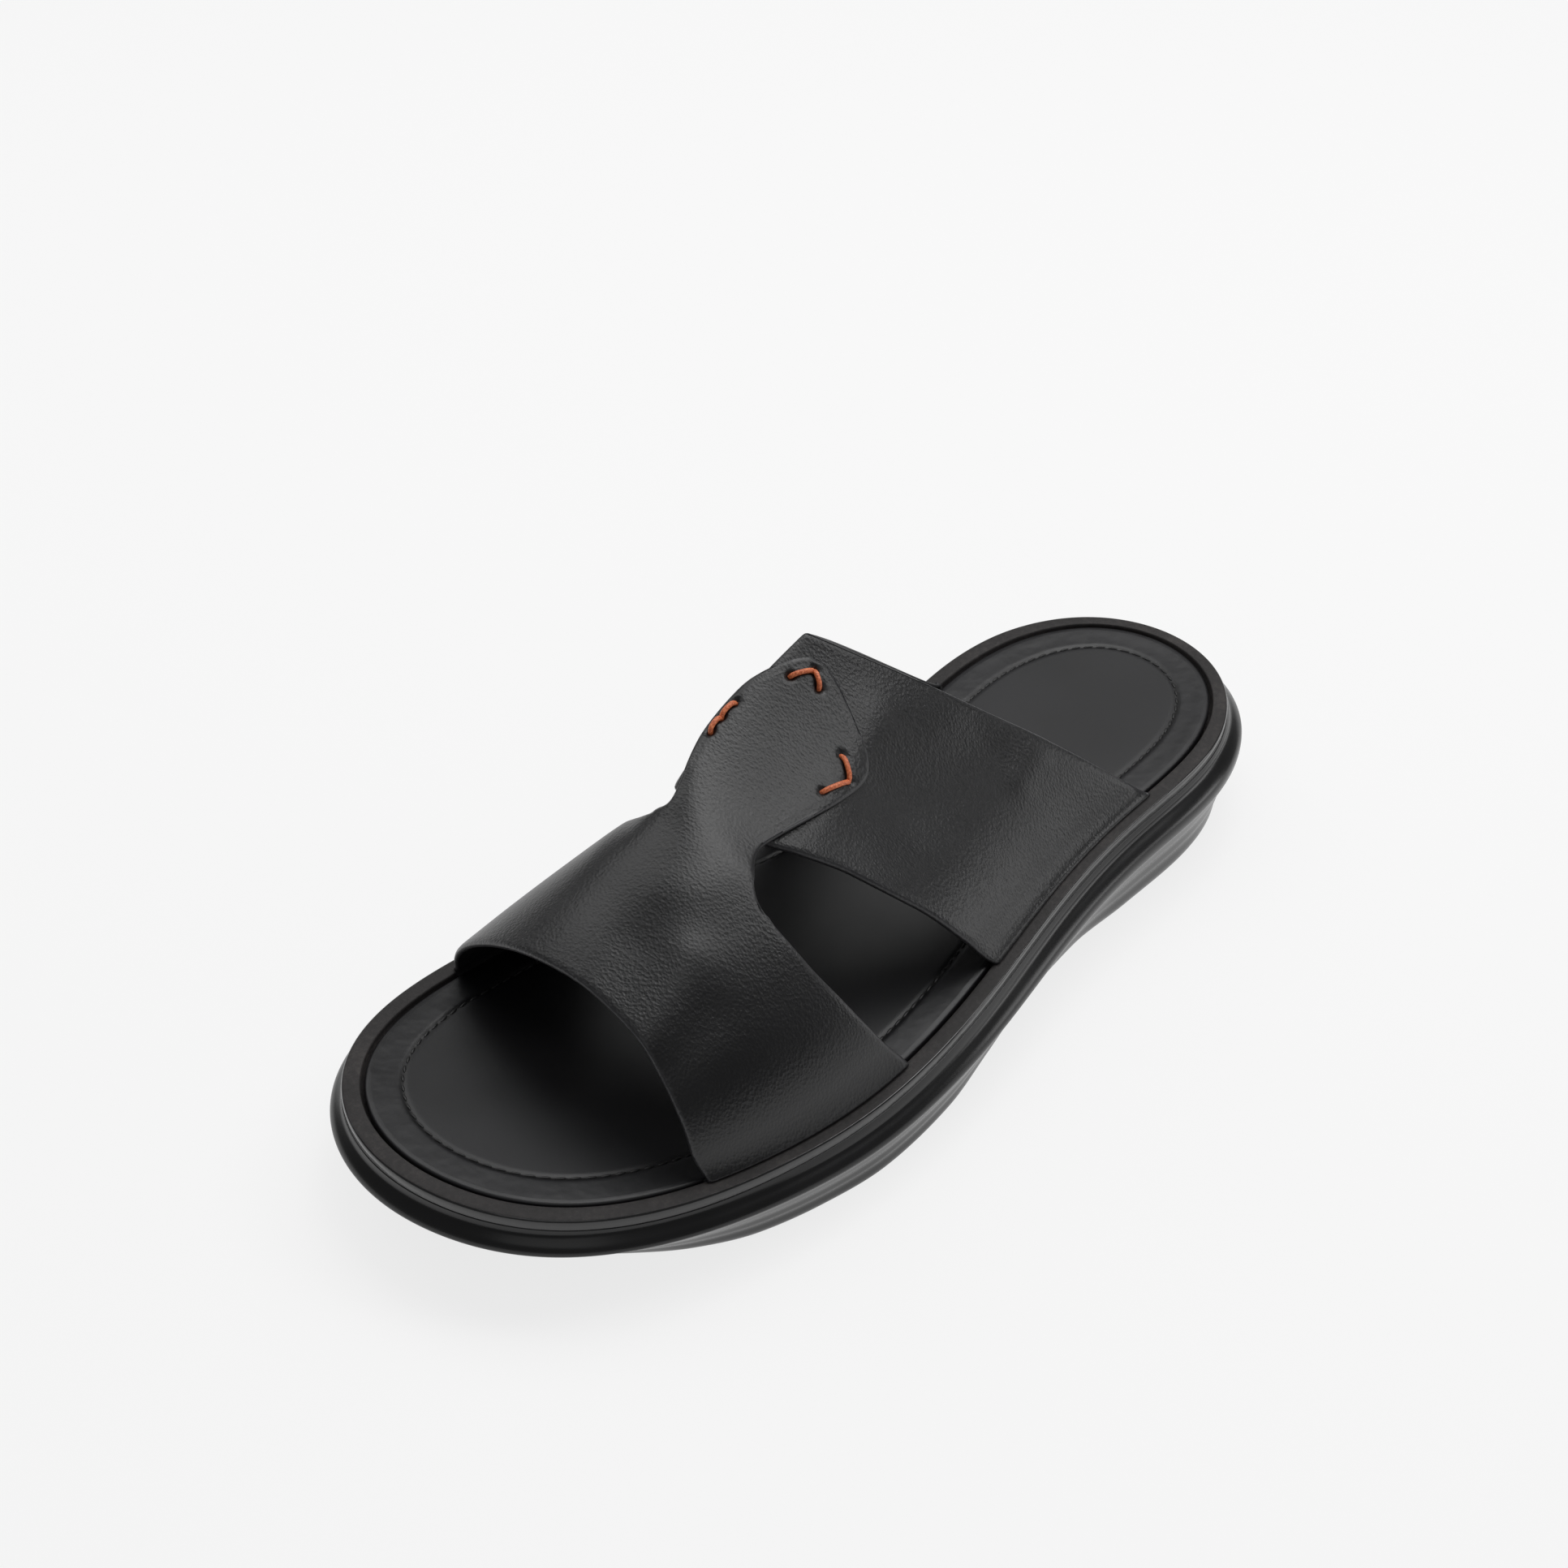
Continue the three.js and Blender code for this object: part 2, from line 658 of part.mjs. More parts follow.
// Materials
const leather = new THREE.MeshStandardMaterial({ color: '#1b1b1d', roughness: 0.45 });
const lining = new THREE.MeshStandardMaterial({ color: '#202022', roughness: 0.5 });
const rimFinish = new THREE.MeshStandardMaterial({ color: '#1c1918', roughness: 0.75 });
const rubber = new THREE.MeshStandardMaterial({ color: '#0f0f10', roughness: 0.25 });

const sandal = new THREE.Group();

function addPiece(name, geometry, material) {
  const mesh = new THREE.Mesh(geometry, material);
  mesh.name = name;
  sandal.add(mesh);
}

const legs = [frontStrap(CLEARANCE), rearStrap(CLEARANCE)];
addPiece('outsole', outsole(), rubber);
addPiece('midsole', midsole(legs), rimFinish);
addPiece('insole', insole(legs), lining);
addPiece('front_strap', frontStrap(0), leather);
addPiece('rear_strap', rearStrap(0), leather);

// The origin is on the floor under the middle of the whole sandal
const extent = new THREE.Box3().setFromObject(sandal);
const middle = extent.getCenter(new THREE.Vector3());
sandal.position.set(-middle.x, -middle.y, -extent.min.z);

export default sandal;
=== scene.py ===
import math

import bmesh
import bpy
import numpy as np
from mathutils import Matrix, Vector


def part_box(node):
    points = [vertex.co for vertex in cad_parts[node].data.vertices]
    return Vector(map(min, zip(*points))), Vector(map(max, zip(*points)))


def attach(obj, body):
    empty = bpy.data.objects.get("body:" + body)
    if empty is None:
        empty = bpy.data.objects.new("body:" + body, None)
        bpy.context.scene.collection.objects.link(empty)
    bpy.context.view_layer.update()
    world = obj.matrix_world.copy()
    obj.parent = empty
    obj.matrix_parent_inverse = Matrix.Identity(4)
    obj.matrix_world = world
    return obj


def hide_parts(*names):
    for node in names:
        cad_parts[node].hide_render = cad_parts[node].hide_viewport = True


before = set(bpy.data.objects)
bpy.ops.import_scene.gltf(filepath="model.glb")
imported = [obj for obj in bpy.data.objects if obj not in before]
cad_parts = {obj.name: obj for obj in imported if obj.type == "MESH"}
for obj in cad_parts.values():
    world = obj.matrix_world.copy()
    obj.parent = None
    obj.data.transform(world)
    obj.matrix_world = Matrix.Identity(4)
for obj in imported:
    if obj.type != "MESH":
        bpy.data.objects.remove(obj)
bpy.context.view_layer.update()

MM = 0.001

# Driving sizes, as in the solids
INSOLE_LENGTH = 268.1
BALL_WIDTH = 97.4
HEEL_HEIGHT = 31
INSTEP_HEIGHT = 61
INSOLE_THICK = 2.5
INSOLE_EDGE_ROUND = 0.8
GROOVE_WIDTH = 0.9
RIM_WIDTH = 5.3
RIM_STAND = 0.3
RIM_WALL = 3.3
RIM_AT_HEEL = 0.86
RIM_FULL_FROM = 0.12
PLUG_DEPTH = 6
PLUG_INSET = 2
SOLE_FLARE = 10
TREAD_DEPTH = 1.2
TREAD_WIDTH = 3
TREAD_PLACES = (0.05, 0.10, 0.15, 0.20, 0.60, 0.65, 0.70, 0.75)
STRAP_THICK = 1.8
LEG_STAND_OFF = 0.5
LEG_DEPTH = 2.3
CLEARANCE = 0.35


# Curves through short tables

def spline_of(keys, values):
    """The natural cubic spline through the values."""
    keys = np.asarray(keys, float)
    values = np.asarray(values, float)
    gaps = np.diff(keys)
    count = len(keys)
    matrix = np.eye(count)
    turns = np.zeros(count)
    for i in range(1, count - 1):
        matrix[i, i - 1:i + 2] = gaps[i - 1], 2 * (gaps[i - 1] + gaps[i]), gaps[i]
        turns[i] = 6 * ((values[i + 1] - values[i]) / gaps[i] - (values[i] - values[i - 1]) / gaps[i - 1])
    bend = np.linalg.solve(matrix, turns)

    def curve(key):
        key = np.asarray(key, float)
        i = np.clip(np.searchsorted(keys, key, side="right") - 1, 0, count - 2)
        a = (keys[i + 1] - key) / gaps[i]
        b = 1 - a
        bow = ((a ** 3 - a) * bend[i] + (b ** 3 - b) * bend[i + 1]) * gaps[i] ** 2 / 6
        return a * values[i] + b * values[i + 1] + bow
    return curve


def steady_of(keys, values):
    """A curve through the values that never passes beyond them."""
    keys = np.asarray(keys, float)
    values = np.asarray(values, float)
    gaps = np.diff(keys)
    steps = np.diff(values) / gaps
    product = steps[:-1] * steps[1:]
    total = steps[:-1] + steps[1:]
    slopes = np.zeros(len(keys))
    same = product > 0
    slopes[1:-1][same] = 2 * product[same] / total[same]

    def curve(key):
        key = np.asarray(key, float)
        i = np.clip(np.searchsorted(keys, key, side="right") - 1, 0, len(keys) - 2)
        t = np.clip((key - keys[i]) / gaps[i], 0, 1)
        rise = values[i + 1] - values[i]
        leave = slopes[i] * gaps[i]
        arrive = slopes[i + 1] * gaps[i]
        bend = 3 * rise - 2 * leave - arrive + t * (leave + arrive - 2 * rise)
        return values[i] + t * (leave + t * bend)
    return curve


def curves_of(names, rows, curve):
    """One curve for each named column of a table whose first column is the key."""
    keys = [row[0] for row in rows]
    return {name: curve(keys, [row[i + 1] for row in rows]) for i, name in enumerate(names)}


def smoothstep(start, end, value):
    share = np.clip((np.asarray(value, float) - start) / (end - start), 0, 1)
    return share * share * (3 - 2 * share)


# Outline of the insole: share of its length from the heel, outer and inner side from the middle
# line as shares of the ball width
OUTLINE = (
    (0.0000, 0.000, 0.000),
    (0.0134, 0.142, -0.142),
    (0.0380, 0.228, -0.228),
    (0.0903, 0.311, -0.307),
    (0.1623, 0.350, -0.338),
    (0.2443, 0.361, -0.318),
    (0.3256, 0.383, -0.278),
    (0.4077, 0.424, -0.262),
    (0.4987, 0.479, -0.299),
    (0.5815, 0.516, -0.366),
    (0.6647, 0.528, -0.428),
    (0.7367, 0.511, -0.462),
    (0.8079, 0.473, -0.476),
    (0.8702, 0.418, -0.465),
    (0.9351, 0.315, -0.398),
    (0.9741, 0.191, -0.294),
    (0.9903, 0.090, -0.206),
    (1.0000, -0.065, -0.065),
)

# Height of the insole's top over the floor, as shares of the heel height
DECK = curves_of(("top",), (
    (0.00, 1.000),
    (0.10, 0.987),
    (0.19, 0.966),
    (0.32, 0.910),
    (0.45, 0.838),
    (0.58, 0.768),
    (0.70, 0.714),
    (0.78, 0.722),
    (0.86, 0.761),
    (0.93, 0.822),
    (1.00, 0.893),
), spline_of)

# Where the sole meets the floor: out past the insole as a share of the flare, and the lift of
# arch and toe spring as a share of the heel height
GROUND = curves_of(("out", "lift"), (
    (0.00, 0.34, 0.000),
    (0.10, 0.42, 0.000),
    (0.24, 0.38, 0.000),
    (0.33, 0.24, 0.025),
    (0.42, 0.24, 0.060),
    (0.50, 0.32, 0.040),
    (0.57, 0.44, 0.000),
    (0.66, 0.50, 0.000),
    (0.73, 0.38, 0.000),
    (0.79, 0.26, 0.018),
    (0.85, 0.04, 0.085),
    (0.90, -0.17, 0.170),
    (0.95, -0.28, 0.265),
    (1.00, -0.20, 0.350),
), steady_of)

# Side of the outsole from its lip down to the undercut at heel, ball and toe: out as shares of
# the flare, down from the insole's top as shares of the height there
SIDE = (
    {"heel": (0.60, 0.130), "ball": (0.60, 0.185), "toe": (0.56, 0.150)},
    {"heel": (0.58, 0.165), "ball": (0.62, 0.230), "toe": (0.66, 0.185)},
    {"heel": (0.82, 0.220), "ball": (0.80, 0.290), "toe": (0.79, 0.225)},
    {"heel": (0.97, 0.275), "ball": (0.89, 0.350), "toe": (0.86, 0.270)},
    {"heel": (0.96, 0.385), "ball": (0.89, 0.410), "toe": (0.85, 0.305)},
    {"heel": (0.83, 0.415), "ball": (0.79, 0.445), "toe": (0.72, 0.345)},
)
SIDE_PLACES = {"heel": 0.18, "ball": 0.66, "toe": 0.93}
WALL_RIBS = (
    (0.30, 0.00),
    (0.36, -0.05),
    (0.60, 0.00),
    (0.66, -0.05),
    (0.90, 0.04),
)

# Form of the foot under the straps, by stage from the front strap's toe edge to past the rear edge
FORM = curves_of(("near", "crest", "far", "across", "rise", "near_round", "far_round"), (
    (0.00, 0.8395, 0.8363, 0.8105, 0.0459, 0.5910, 1.90, 1.82),
    (0.50, 0.7806, 0.8006, 0.7575, 0.0055, 0.6586, 1.96, 1.84),
    (1.00, 0.7273, 0.7557, 0.7172, -0.0115, 0.7056, 2.02, 1.86),
    (1.50, 0.6741, 0.7129, 0.6770, -0.0212, 0.7368, 2.04, 1.86),
    (2.00, 0.6154, 0.6836, 0.6238, -0.0398, 0.7572, 1.99, 1.85),
    (2.50, 0.5479, 0.6725, 0.5504, -0.0776, 0.7732, 1.86, 1.81),
    (3.00, 0.4765, 0.6585, 0.4709, -0.1210, 0.7980, 1.69, 1.75),
    (3.50, 0.4066, 0.6211, 0.4005, -0.1543, 0.8419, 1.55, 1.68),
    (4.00, 0.3386, 0.5677, 0.3376, -0.1752, 0.8977, 1.43, 1.59),
    (4.50, 0.2714, 0.5128, 0.2763, -0.1850, 0.9537, 1.33, 1.49),
    (5.00, 0.2039, 0.4709, 0.2107, -0.1851, 0.9984, 1.24, 1.39),
    (5.25, 0.1697, 0.4594, 0.1744, -0.1819, 1.0128, 1.19, 1.34),
), spline_of)

# Edges of the straps as stages, by the angle round the foot from the outer side
EDGES = curves_of(("front_toe", "front_rear", "rear_toe", "rear_heel"), (
    (0, 0.000, 1.97, 3.000, 5.000),
    (15, -0.050, 1.89, 3.092, 5.037),
    (30, -0.050, 1.82, 3.180, 5.091),
    (45, -0.028, 1.78, 3.196, 5.128),
    (56, -0.012, 1.79, 3.110, 5.120),
    (62, -0.009, 1.86, 3.050, 5.110),
    (67, -0.008, 2.14, 3.000, 5.090),
    (97, -0.015, 2.14, 3.040, 5.019),
    (105, -0.019, 2.14, 3.040, 5.020),
    (112, -0.023, 1.96, 3.035, 5.024),
    (120, -0.028, 1.93, 3.025, 5.026),
    (135, -0.039, 1.93, 2.990, 5.015),
    (150, -0.043, 1.93, 2.952, 4.998),
    (165, -0.033, 1.94, 2.957, 4.990),
    (180, 0.000, 1.96, 3.000, 5.000),
), steady_of)
# The neck's two sides as angles, and the stage at which it leaves the band
NECK = {"near": 67, "far": 105, "stage": 2.14}
# The quarter rounds where the rear edge runs into the neck
NECK_ROUNDS = (
    {"start": 60, "end": 67, "stage": 1.82},
    {"start": 115, "end": 105, "stage": 1.94},
)

# Outline of the neck and the tab: stage, and the angles of its two sides
TAB = (
    (2.14, 67.0, 105.0),
    (2.40, 66.8, 101.0),
    (2.65, 65.9, 95.6),
    (2.90, 64.1, 91.8),
    (3.15, 61.0, 90.6),
    (3.37, 58.0, 91.6),
    (3.57, 55.4, 93.6),
    (3.72, 53.8, 95.2),
    (3.86, 52.8, 96.2),
    (4.00, 53.0, 96.2),
    (4.15, 55.6, 94.6),
    (4.30, 59.6, 91.4),
    (4.44, 63.6, 87.6),
    (4.57, 67.8, 83.6),
    (4.66, 71.4, 80.6),
    (4.71, 74.4, 78.2),
)
# The stages over which the front strap climbs onto the rear strap, and the angle beside the neck
# over which the climb dies out
CLIMB = {"start": 0.3, "end": 2.3, "beside": 28}
# The front strap swells over the bend of the foot: height and reach along the shoe in millimetres,
# its place as a share of the insole's length, and the angles between which it comes and goes
SWELL = {"height": 3.1, "along": 0.701, "reach": 15, "begin": 62, "full": 88, "keep": 112, "end": 150}


def y_at(along):
    return INSOLE_LENGTH * (0.5 - np.asarray(along, float))


def along_at(y):
    return np.clip(0.5 - np.asarray(y, float) / INSOLE_LENGTH, 0, 1)


def deck_top(y):
    return HEEL_HEIGHT * DECK["top"](along_at(y))


# The outline as a closed ring whose points pair up across the foot

def closed_curve(control, count):
    """Even points of the closed cubic through the control points, spaced by the root of their gaps."""
    steps = np.linalg.norm(np.roll(control, -1, axis=0) - control, axis=1) ** 0.5
    keys = np.concatenate([[0], np.cumsum(steps)])
    wrap = 4
    longer = np.concatenate([control[-wrap:], control, control[:wrap + 1]])
    before = keys[-1 - wrap:-1] - keys[-1]
    after = keys[1:wrap + 1] + keys[-1]
    long_keys = np.concatenate([before, keys, after])
    t = np.linspace(0, keys[-1], count, endpoint=False)
    return np.stack([spline_of(long_keys, longer[:, k])(t) for k in (0, 1)], axis=1)


RING_POINTS = 3000


def outline_ring():
    """The insole's edge through the points of the outline table."""
    outer = [(row[1] * BALL_WIDTH, float(y_at(row[0]))) for row in OUTLINE]
    inner = [(row[2] * BALL_WIDTH, float(y_at(row[0]))) for row in OUTLINE[-2:0:-1]]
    return closed_curve(np.array(outer + inner), RING_POINTS)


EVEN_REACH = 9


def evened(ring):
    """The ring without waves much shorter than the reach in millimetres."""
    closed = np.concatenate([ring, ring[:1]])
    run = np.concatenate([[0], np.cumsum(np.linalg.norm(np.diff(closed, axis=0), axis=1))])
    even = np.linspace(0, run[-1], len(ring), endpoint=False)
    spaced = np.stack([np.interp(even, run, closed[:, k]) for k in (0, 1)], axis=1)
    waves = 2 * np.pi * np.fft.fftfreq(len(ring)) * len(ring) / run[-1]
    blur = np.exp(-((waves * EVEN_REACH) ** 2) / 2)
    kept = np.fft.fft(spaced, axis=0) * (2 * blur - blur ** 2)[:, None]
    return np.fft.ifft(kept, axis=0).real


def sides_of(ring):
    """The outer and the inner side, each as points from the heel to the toe."""
    heel = int(np.argmax(ring[:, 1]))
    ring = np.roll(ring, -heel, axis=0)
    toe = int(np.argmin(ring[:, 1]))
    return ring[:toe + 1], np.concatenate([ring[toe:], ring[:1]])[::-1]


DRAWN_RING = outline_ring()
OUTER_LINE, INNER_LINE = sides_of(evened(DRAWN_RING))


def line_at(line, y):
    return np.interp(-np.asarray(y, float), -line[:, 1], line[:, 0])


class Ring:
    """Points round the insole's edge: heel, outer side, toe, inner side. Row i pairs with -i."""

    def __init__(self, rows, extra_y=()):
        line = OUTER_LINE
        run = np.concatenate([[0], np.cumsum(np.linalg.norm(np.diff(line, axis=0), axis=1))])
        y = np.interp(np.linspace(0, run[-1], rows + 1), run, line[:, 1])
        y = np.unique(np.round(np.concatenate([y, list(extra_y)]), 3))[::-1]
        self.rows = len(y) - 1
        outer = np.stack([line_at(OUTER_LINE, y), y], axis=1)
        inner = np.stack([line_at(INNER_LINE, y), y], axis=1)
        self.points = np.concatenate([outer, inner[-2:0:-1]])
        ahead = np.roll(self.points, -1, axis=0) - self.points
        ahead /= np.linalg.norm(ahead, axis=1)[:, None]
        run = ahead + np.roll(ahead, 1, axis=0)
        run /= np.linalg.norm(run, axis=1)[:, None]
        self.out = np.stack([-run[:, 1], run[:, 0]], axis=1)
        self.along = along_at(self.points[:, 1])
        self.rim = RIM_WIDTH * (RIM_AT_HEEL + (1 - RIM_AT_HEEL) * smoothstep(0, RIM_FULL_FROM, self.along))

    def edge(self, out, down):
        """A ring of points out from the insole's edge and down from its top."""
        flat = self.points + self.out * np.broadcast_to(np.asarray(out, float), self.along.shape)[:, None]
        return np.column_stack([flat, deck_top(self.points[:, 1]) - down])


# The whole model is moved so that its box is centred, as the solids are
WIDEST = float(DRAWN_RING[:, 0].max()) + RIM_WIDTH
insole_low, insole_high = (np.array(corner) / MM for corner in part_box("insole"))
rim_high = np.array(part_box("midsole")[1]) / MM
SHIFT = np.array([rim_high[0] - WIDEST, (insole_low[1] + insole_high[1]) / 2, 0])


# Meshes

# Shares of the way across the foot at which a piece's top, underside and well have points
TOP_SHARES = np.linspace(0, 1, 44)[1:-1]
UNDER_SHARES = np.linspace(0, 1, 10)[1:-1]
WELL_SHARES = np.linspace(0, 1, 8)[1:-1]


class Shell:
    """Points and faces of one piece, in millimetres, with a finish for each face."""

    def __init__(self):
        self.points = []
        self.faces = []
        self.finish = []
        self.count = 0

    def add_points(self, points):
        points = np.asarray(points, float).reshape(-1, 3)
        first = self.count
        self.points.append(points)
        self.count += len(points)
        return np.arange(first, self.count)

    def add_faces(self, faces, finish=0):
        faces = [tuple(int(i) for i in face) for face in faces]
        self.faces.extend(faces)
        self.finish.extend([finish] * len(faces))

    def join_rings(self, numbers, finish=0):
        """Quads between rings of the same count, closed round."""
        for a, b in zip(numbers[:-1], numbers[1:]):
            a2 = np.roll(a, -1)
            b2 = np.roll(b, -1)
            self.add_faces(np.stack([a, a2, b2, b], axis=1), finish)

    def fill_across(self, ring, shares, shape, finish=0, up=True):
        """Closes a ring of paired points with rows across the foot, whose heights the shape sets."""
        points = np.concatenate(self.points)
        half = len(ring) // 2
        rows = []
        for i in range(1, half):
            a = points[ring[i]]
            b = points[ring[-i]]
            inside = a + (b - a) * np.asarray(shares)[:, None]
            numbers = self.add_points(shape(inside, np.asarray(shares)))
            rows.append(np.concatenate([[ring[i]], numbers, [ring[-i]]]))
        faces = []
        for a, b in zip(rows[:-1], rows[1:]):
            faces.extend(np.stack([a[:-1], a[1:], b[1:], b[:-1]], axis=1))
        for row, tip, turn in ((rows[0], ring[0], False), (rows[-1], ring[half], True)):
            fan = [(tip, row[k + 1], row[k]) for k in range(len(row) - 1)]
            faces.extend([face[::-1] for face in fan] if turn else fan)
        self.add_faces([face if up else face[::-1] for face in faces], finish)

    def make(self, name, node, slot, materials, masks=None):
        """The finished piece, with a value at each point for every mask."""
        points = (np.concatenate(self.points) + SHIFT) * MM
        mesh = bpy.data.meshes.new(name)
        mesh.from_pydata(points.tolist(), [], self.faces)
        for material in materials:
            mesh.materials.append(material)
        mesh.polygons.foreach_set("material_index", self.finish)
        mesh.shade_smooth()
        for mask, values in (masks or {}).items():
            layer = mesh.attributes.new(mask, "FLOAT", "POINT")
            layer.data.foreach_set("value", np.asarray(values, float))
        mesh.validate()
        solid = bmesh.new()
        solid.from_mesh(mesh)
        bmesh.ops.recalc_face_normals(solid, faces=solid.faces)
        solid.to_mesh(mesh)
        solid.free()
        piece = bpy.data.objects.new(name, mesh)
        bpy.context.scene.collection.objects.link(piece)
        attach(piece, "root")
        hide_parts(node)


# Materials

def linear(text):
    """An sRGB hex colour as linear red, green, blue and alpha."""
    values = [int(text[i:i + 2], 16) / 255 for i in (1, 3, 5)]
    return (*(v / 12.92 if v <= 0.04045 else ((v + 0.055) / 1.055) ** 2.4 for v in values), 1)


def add(tree, kind, stops=(), **settings):
    """Adds a node and gives its outputs by name. A setting is a property or an input, whose words are
    joined by underscores. A list goes to inputs of the same name in turn, and another node's output
    is linked. Stops are the places and colours of a ramp."""
    node = tree.nodes.new(kind)
    for name in [name for name in settings if hasattr(node, name)]:
        setattr(node, name, settings.pop(name))
    for name, value in settings.items():
        words = name.replace("_", " ")
        inputs = [socket for socket in node.inputs if socket.enabled and socket.name == words]
        for i, part in enumerate(value if isinstance(value, list) else [value]):
            if isinstance(part, bpy.types.NodeSocket):
                tree.links.new(part, inputs[i])
            else:
                inputs[i].default_value = part
    for i, (at, colour) in enumerate(stops):
        elements = node.color_ramp.elements
        element = elements[0] if i == 0 else elements.new(at) if i < len(stops) - 1 else elements[-1]
        element.position = at
        element.color = linear(colour)
    return {socket.name: socket for socket in node.outputs if socket.enabled}


def new_material(name, **values):
    """A material, its tree, its shader with some values set, and the Object coordinates."""
    material = bpy.data.materials.new(name)
    material.use_nodes = True
    tree = material.node_tree
    shader = tree.nodes["Principled BSDF"]
    for socket, value in values.items():
        shader.inputs[socket.replace("_", " ")].default_value = value
    return material, tree, shader, add(tree, "ShaderNodeTexCoord")["Object"]


def connect(tree, shader, **outputs):
    """Links outputs of nodes to the shader's sockets."""
    for socket, output in outputs.items():
        tree.links.new(output, shader.inputs[socket.replace("_", " ")])


def per_mm(size):
    """A texture's scale for features of that size in millimetres."""
    return 1 / (size * MM)


def mottled(name, size, detail, stops, bump=None, **values):
    """A material whose colour, and bump if it has one, follow one noise of that size in millimetres."""
    material, tree, shader, place = new_material(name, **values)
    noise = add(tree, "ShaderNodeTexNoise", Scale=per_mm(size), Detail=detail, Vector=place)["Fac"]
    connect(tree, shader, Base_Color=add(tree, "ShaderNodeValToRGB", stops, Fac=noise)["Color"])
    if bump:
        raised = add(tree, "ShaderNodeBump", Strength=bump["strength"], Distance=bump["depth"] * MM,
                     Height=noise)
        connect(tree, shader, Normal=raised["Normal"])
    return material


# The line creased into the leather beside the tab's edge: its middle and half its width, from the
# edge in millimetres, and over how many rows from the neck it grows
CREASE = {"middle": 1.7, "width": 0.9, "rows": 28}


# Full-grain cow leather, drum dyed black and lightly waxed: a satin face with a fine grain, drawn
# out a little across the foot and deeper where the leather is bent, a creased line beside the tab's
# edge, a painted highlight that makes the leather lighter along its edge, and painted shade that
# makes the stitch holes near black. The grain is drawn a little coarser than it is, so that it shows.
def strap_leather():
    material, tree, shader, place = new_material("full-grain leather, dyed and waxed", IOR=1.48)
    drawn_out = add(tree, "ShaderNodeMapping", Scale=(0.75, 1, 0.75), Vector=place)["Vector"]
    pebble = add(tree, "ShaderNodeTexVoronoi", feature="SMOOTH_F1", Scale=per_mm(0.7), Smoothness=0.15,
                 Vector=drawn_out)["Distance"]
    crease = add(tree, "ShaderNodeTexNoise", Scale=per_mm(0.4), Detail=3.0, Roughness=0.6,
                 Vector=drawn_out)["Fac"]
    grain = add(tree, "ShaderNodeMix", data_type="FLOAT", Factor=0.5, A=pebble, B=crease)["Result"]
    wrinkled, edge, tab, hole = (add(tree, "ShaderNodeAttribute", attribute_name=name)["Fac"]
                                 for name in ("wrinkled", "edge", "tab", "hole"))
    depth = add(tree, "ShaderNodeMapRange", Value=wrinkled, To_Min=0.7, To_Max=1.0)["Result"]
    skin = add(tree, "ShaderNodeBump", Distance=0.19 * MM, Height=grain, Strength=depth)["Normal"]
    from_line = add(tree, "ShaderNodeMapRange", Value=edge, From_Min=CREASE["middle"] - CREASE["width"],
                    From_Max=CREASE["middle"] + CREASE["width"], To_Min=-1.0, To_Max=1.0)["Result"]
    square = add(tree, "ShaderNodeMath", operation="MULTIPLY", Value=[from_line, from_line])["Value"]
    line = add(tree, "ShaderNodeMath", operation="SUBTRACT", Value=[1.0, square])["Value"]
    on_tab = add(tree, "ShaderNodeMapRange", Value=tab, To_Min=0.0, To_Max=0.6)["Result"]
    creased = add(tree, "ShaderNodeBump", invert=True, Distance=0.1 * MM, Height=line, Strength=on_tab,
                  Normal=skin)["Normal"]
    patches = add(tree, "ShaderNodeTexNoise", Scale=per_mm(26), Detail=3.0, Vector=place)["Fac"]
    dyed = add(tree, "ShaderNodeValToRGB", ((0.3, "#09090b"), (0.7, "#0f0f11")), Fac=patches)["Color"]
    # Painted highlight: within about a millimetre of the edge the face is painted lighter, where the edge
    # catches the light
    by_edge = add(tree, "ShaderNodeMapRange", Value=edge, From_Min=1.1, From_Max=0.2)["Result"]
    painted_edge_highlight = add(tree, "ShaderNodeMix", data_type="RGBA", Factor=by_edge, A=dyed,
                 B=linear("#2a2a2c"))["Result"]
    # Painted shade: the stitch holes are painted near black, as shade in their depth
    painted_hole_shade = add(tree, "ShaderNodeMapRange", Value=hole, From_Min=0.35, From_Max=0.8)["Result"]
    colour = add(tree, "ShaderNodeMix", data_type="RGBA", Factor=painted_hole_shade, A=painted_edge_highlight,
                 B=linear("#020202"))["Result"]
    gloss = add(tree, "ShaderNodeMapRange", Value=patches, From_Min=0.3, From_Max=0.7,
                To_Min=0.31, To_Max=0.38)["Result"]
    connect(tree, shader, Base_Color=colour, Roughness=gloss, Normal=creased)
    return material


# The cut edge of the same leather, stained black and rubbed: a dull, slightly fibrous line
def cut_edge():
    return mottled("leather edge, stained", 0.7, 4.0, ((0.35, "#0f0f10"), (0.7, "#232326")),
                   {"strength": 0.5, "depth": 0.15}, Roughness=0.55)


# Pigskin-like lining glued behind the straps, dyed black: duller than the face, with fine pores
def strap_lining():
    material, tree, shader, place = new_material("lining leather, dyed", Roughness=0.6)
    pore = add(tree, "ShaderNodeTexVoronoi", Scale=per_mm(0.9), Vector=place)["Distance"]
    colour = add(tree, "ShaderNodeValToRGB", ((0.2, "#0e0e0f"), (0.8, "#19191b")), Fac=pore)["Color"]
    pitted = add(tree, "ShaderNodeBump", Strength=0.35, Distance=0.12 * MM, Height=pore)["Normal"]
    connect(tree, shader, Base_Color=colour, Normal=pitted)
    return material
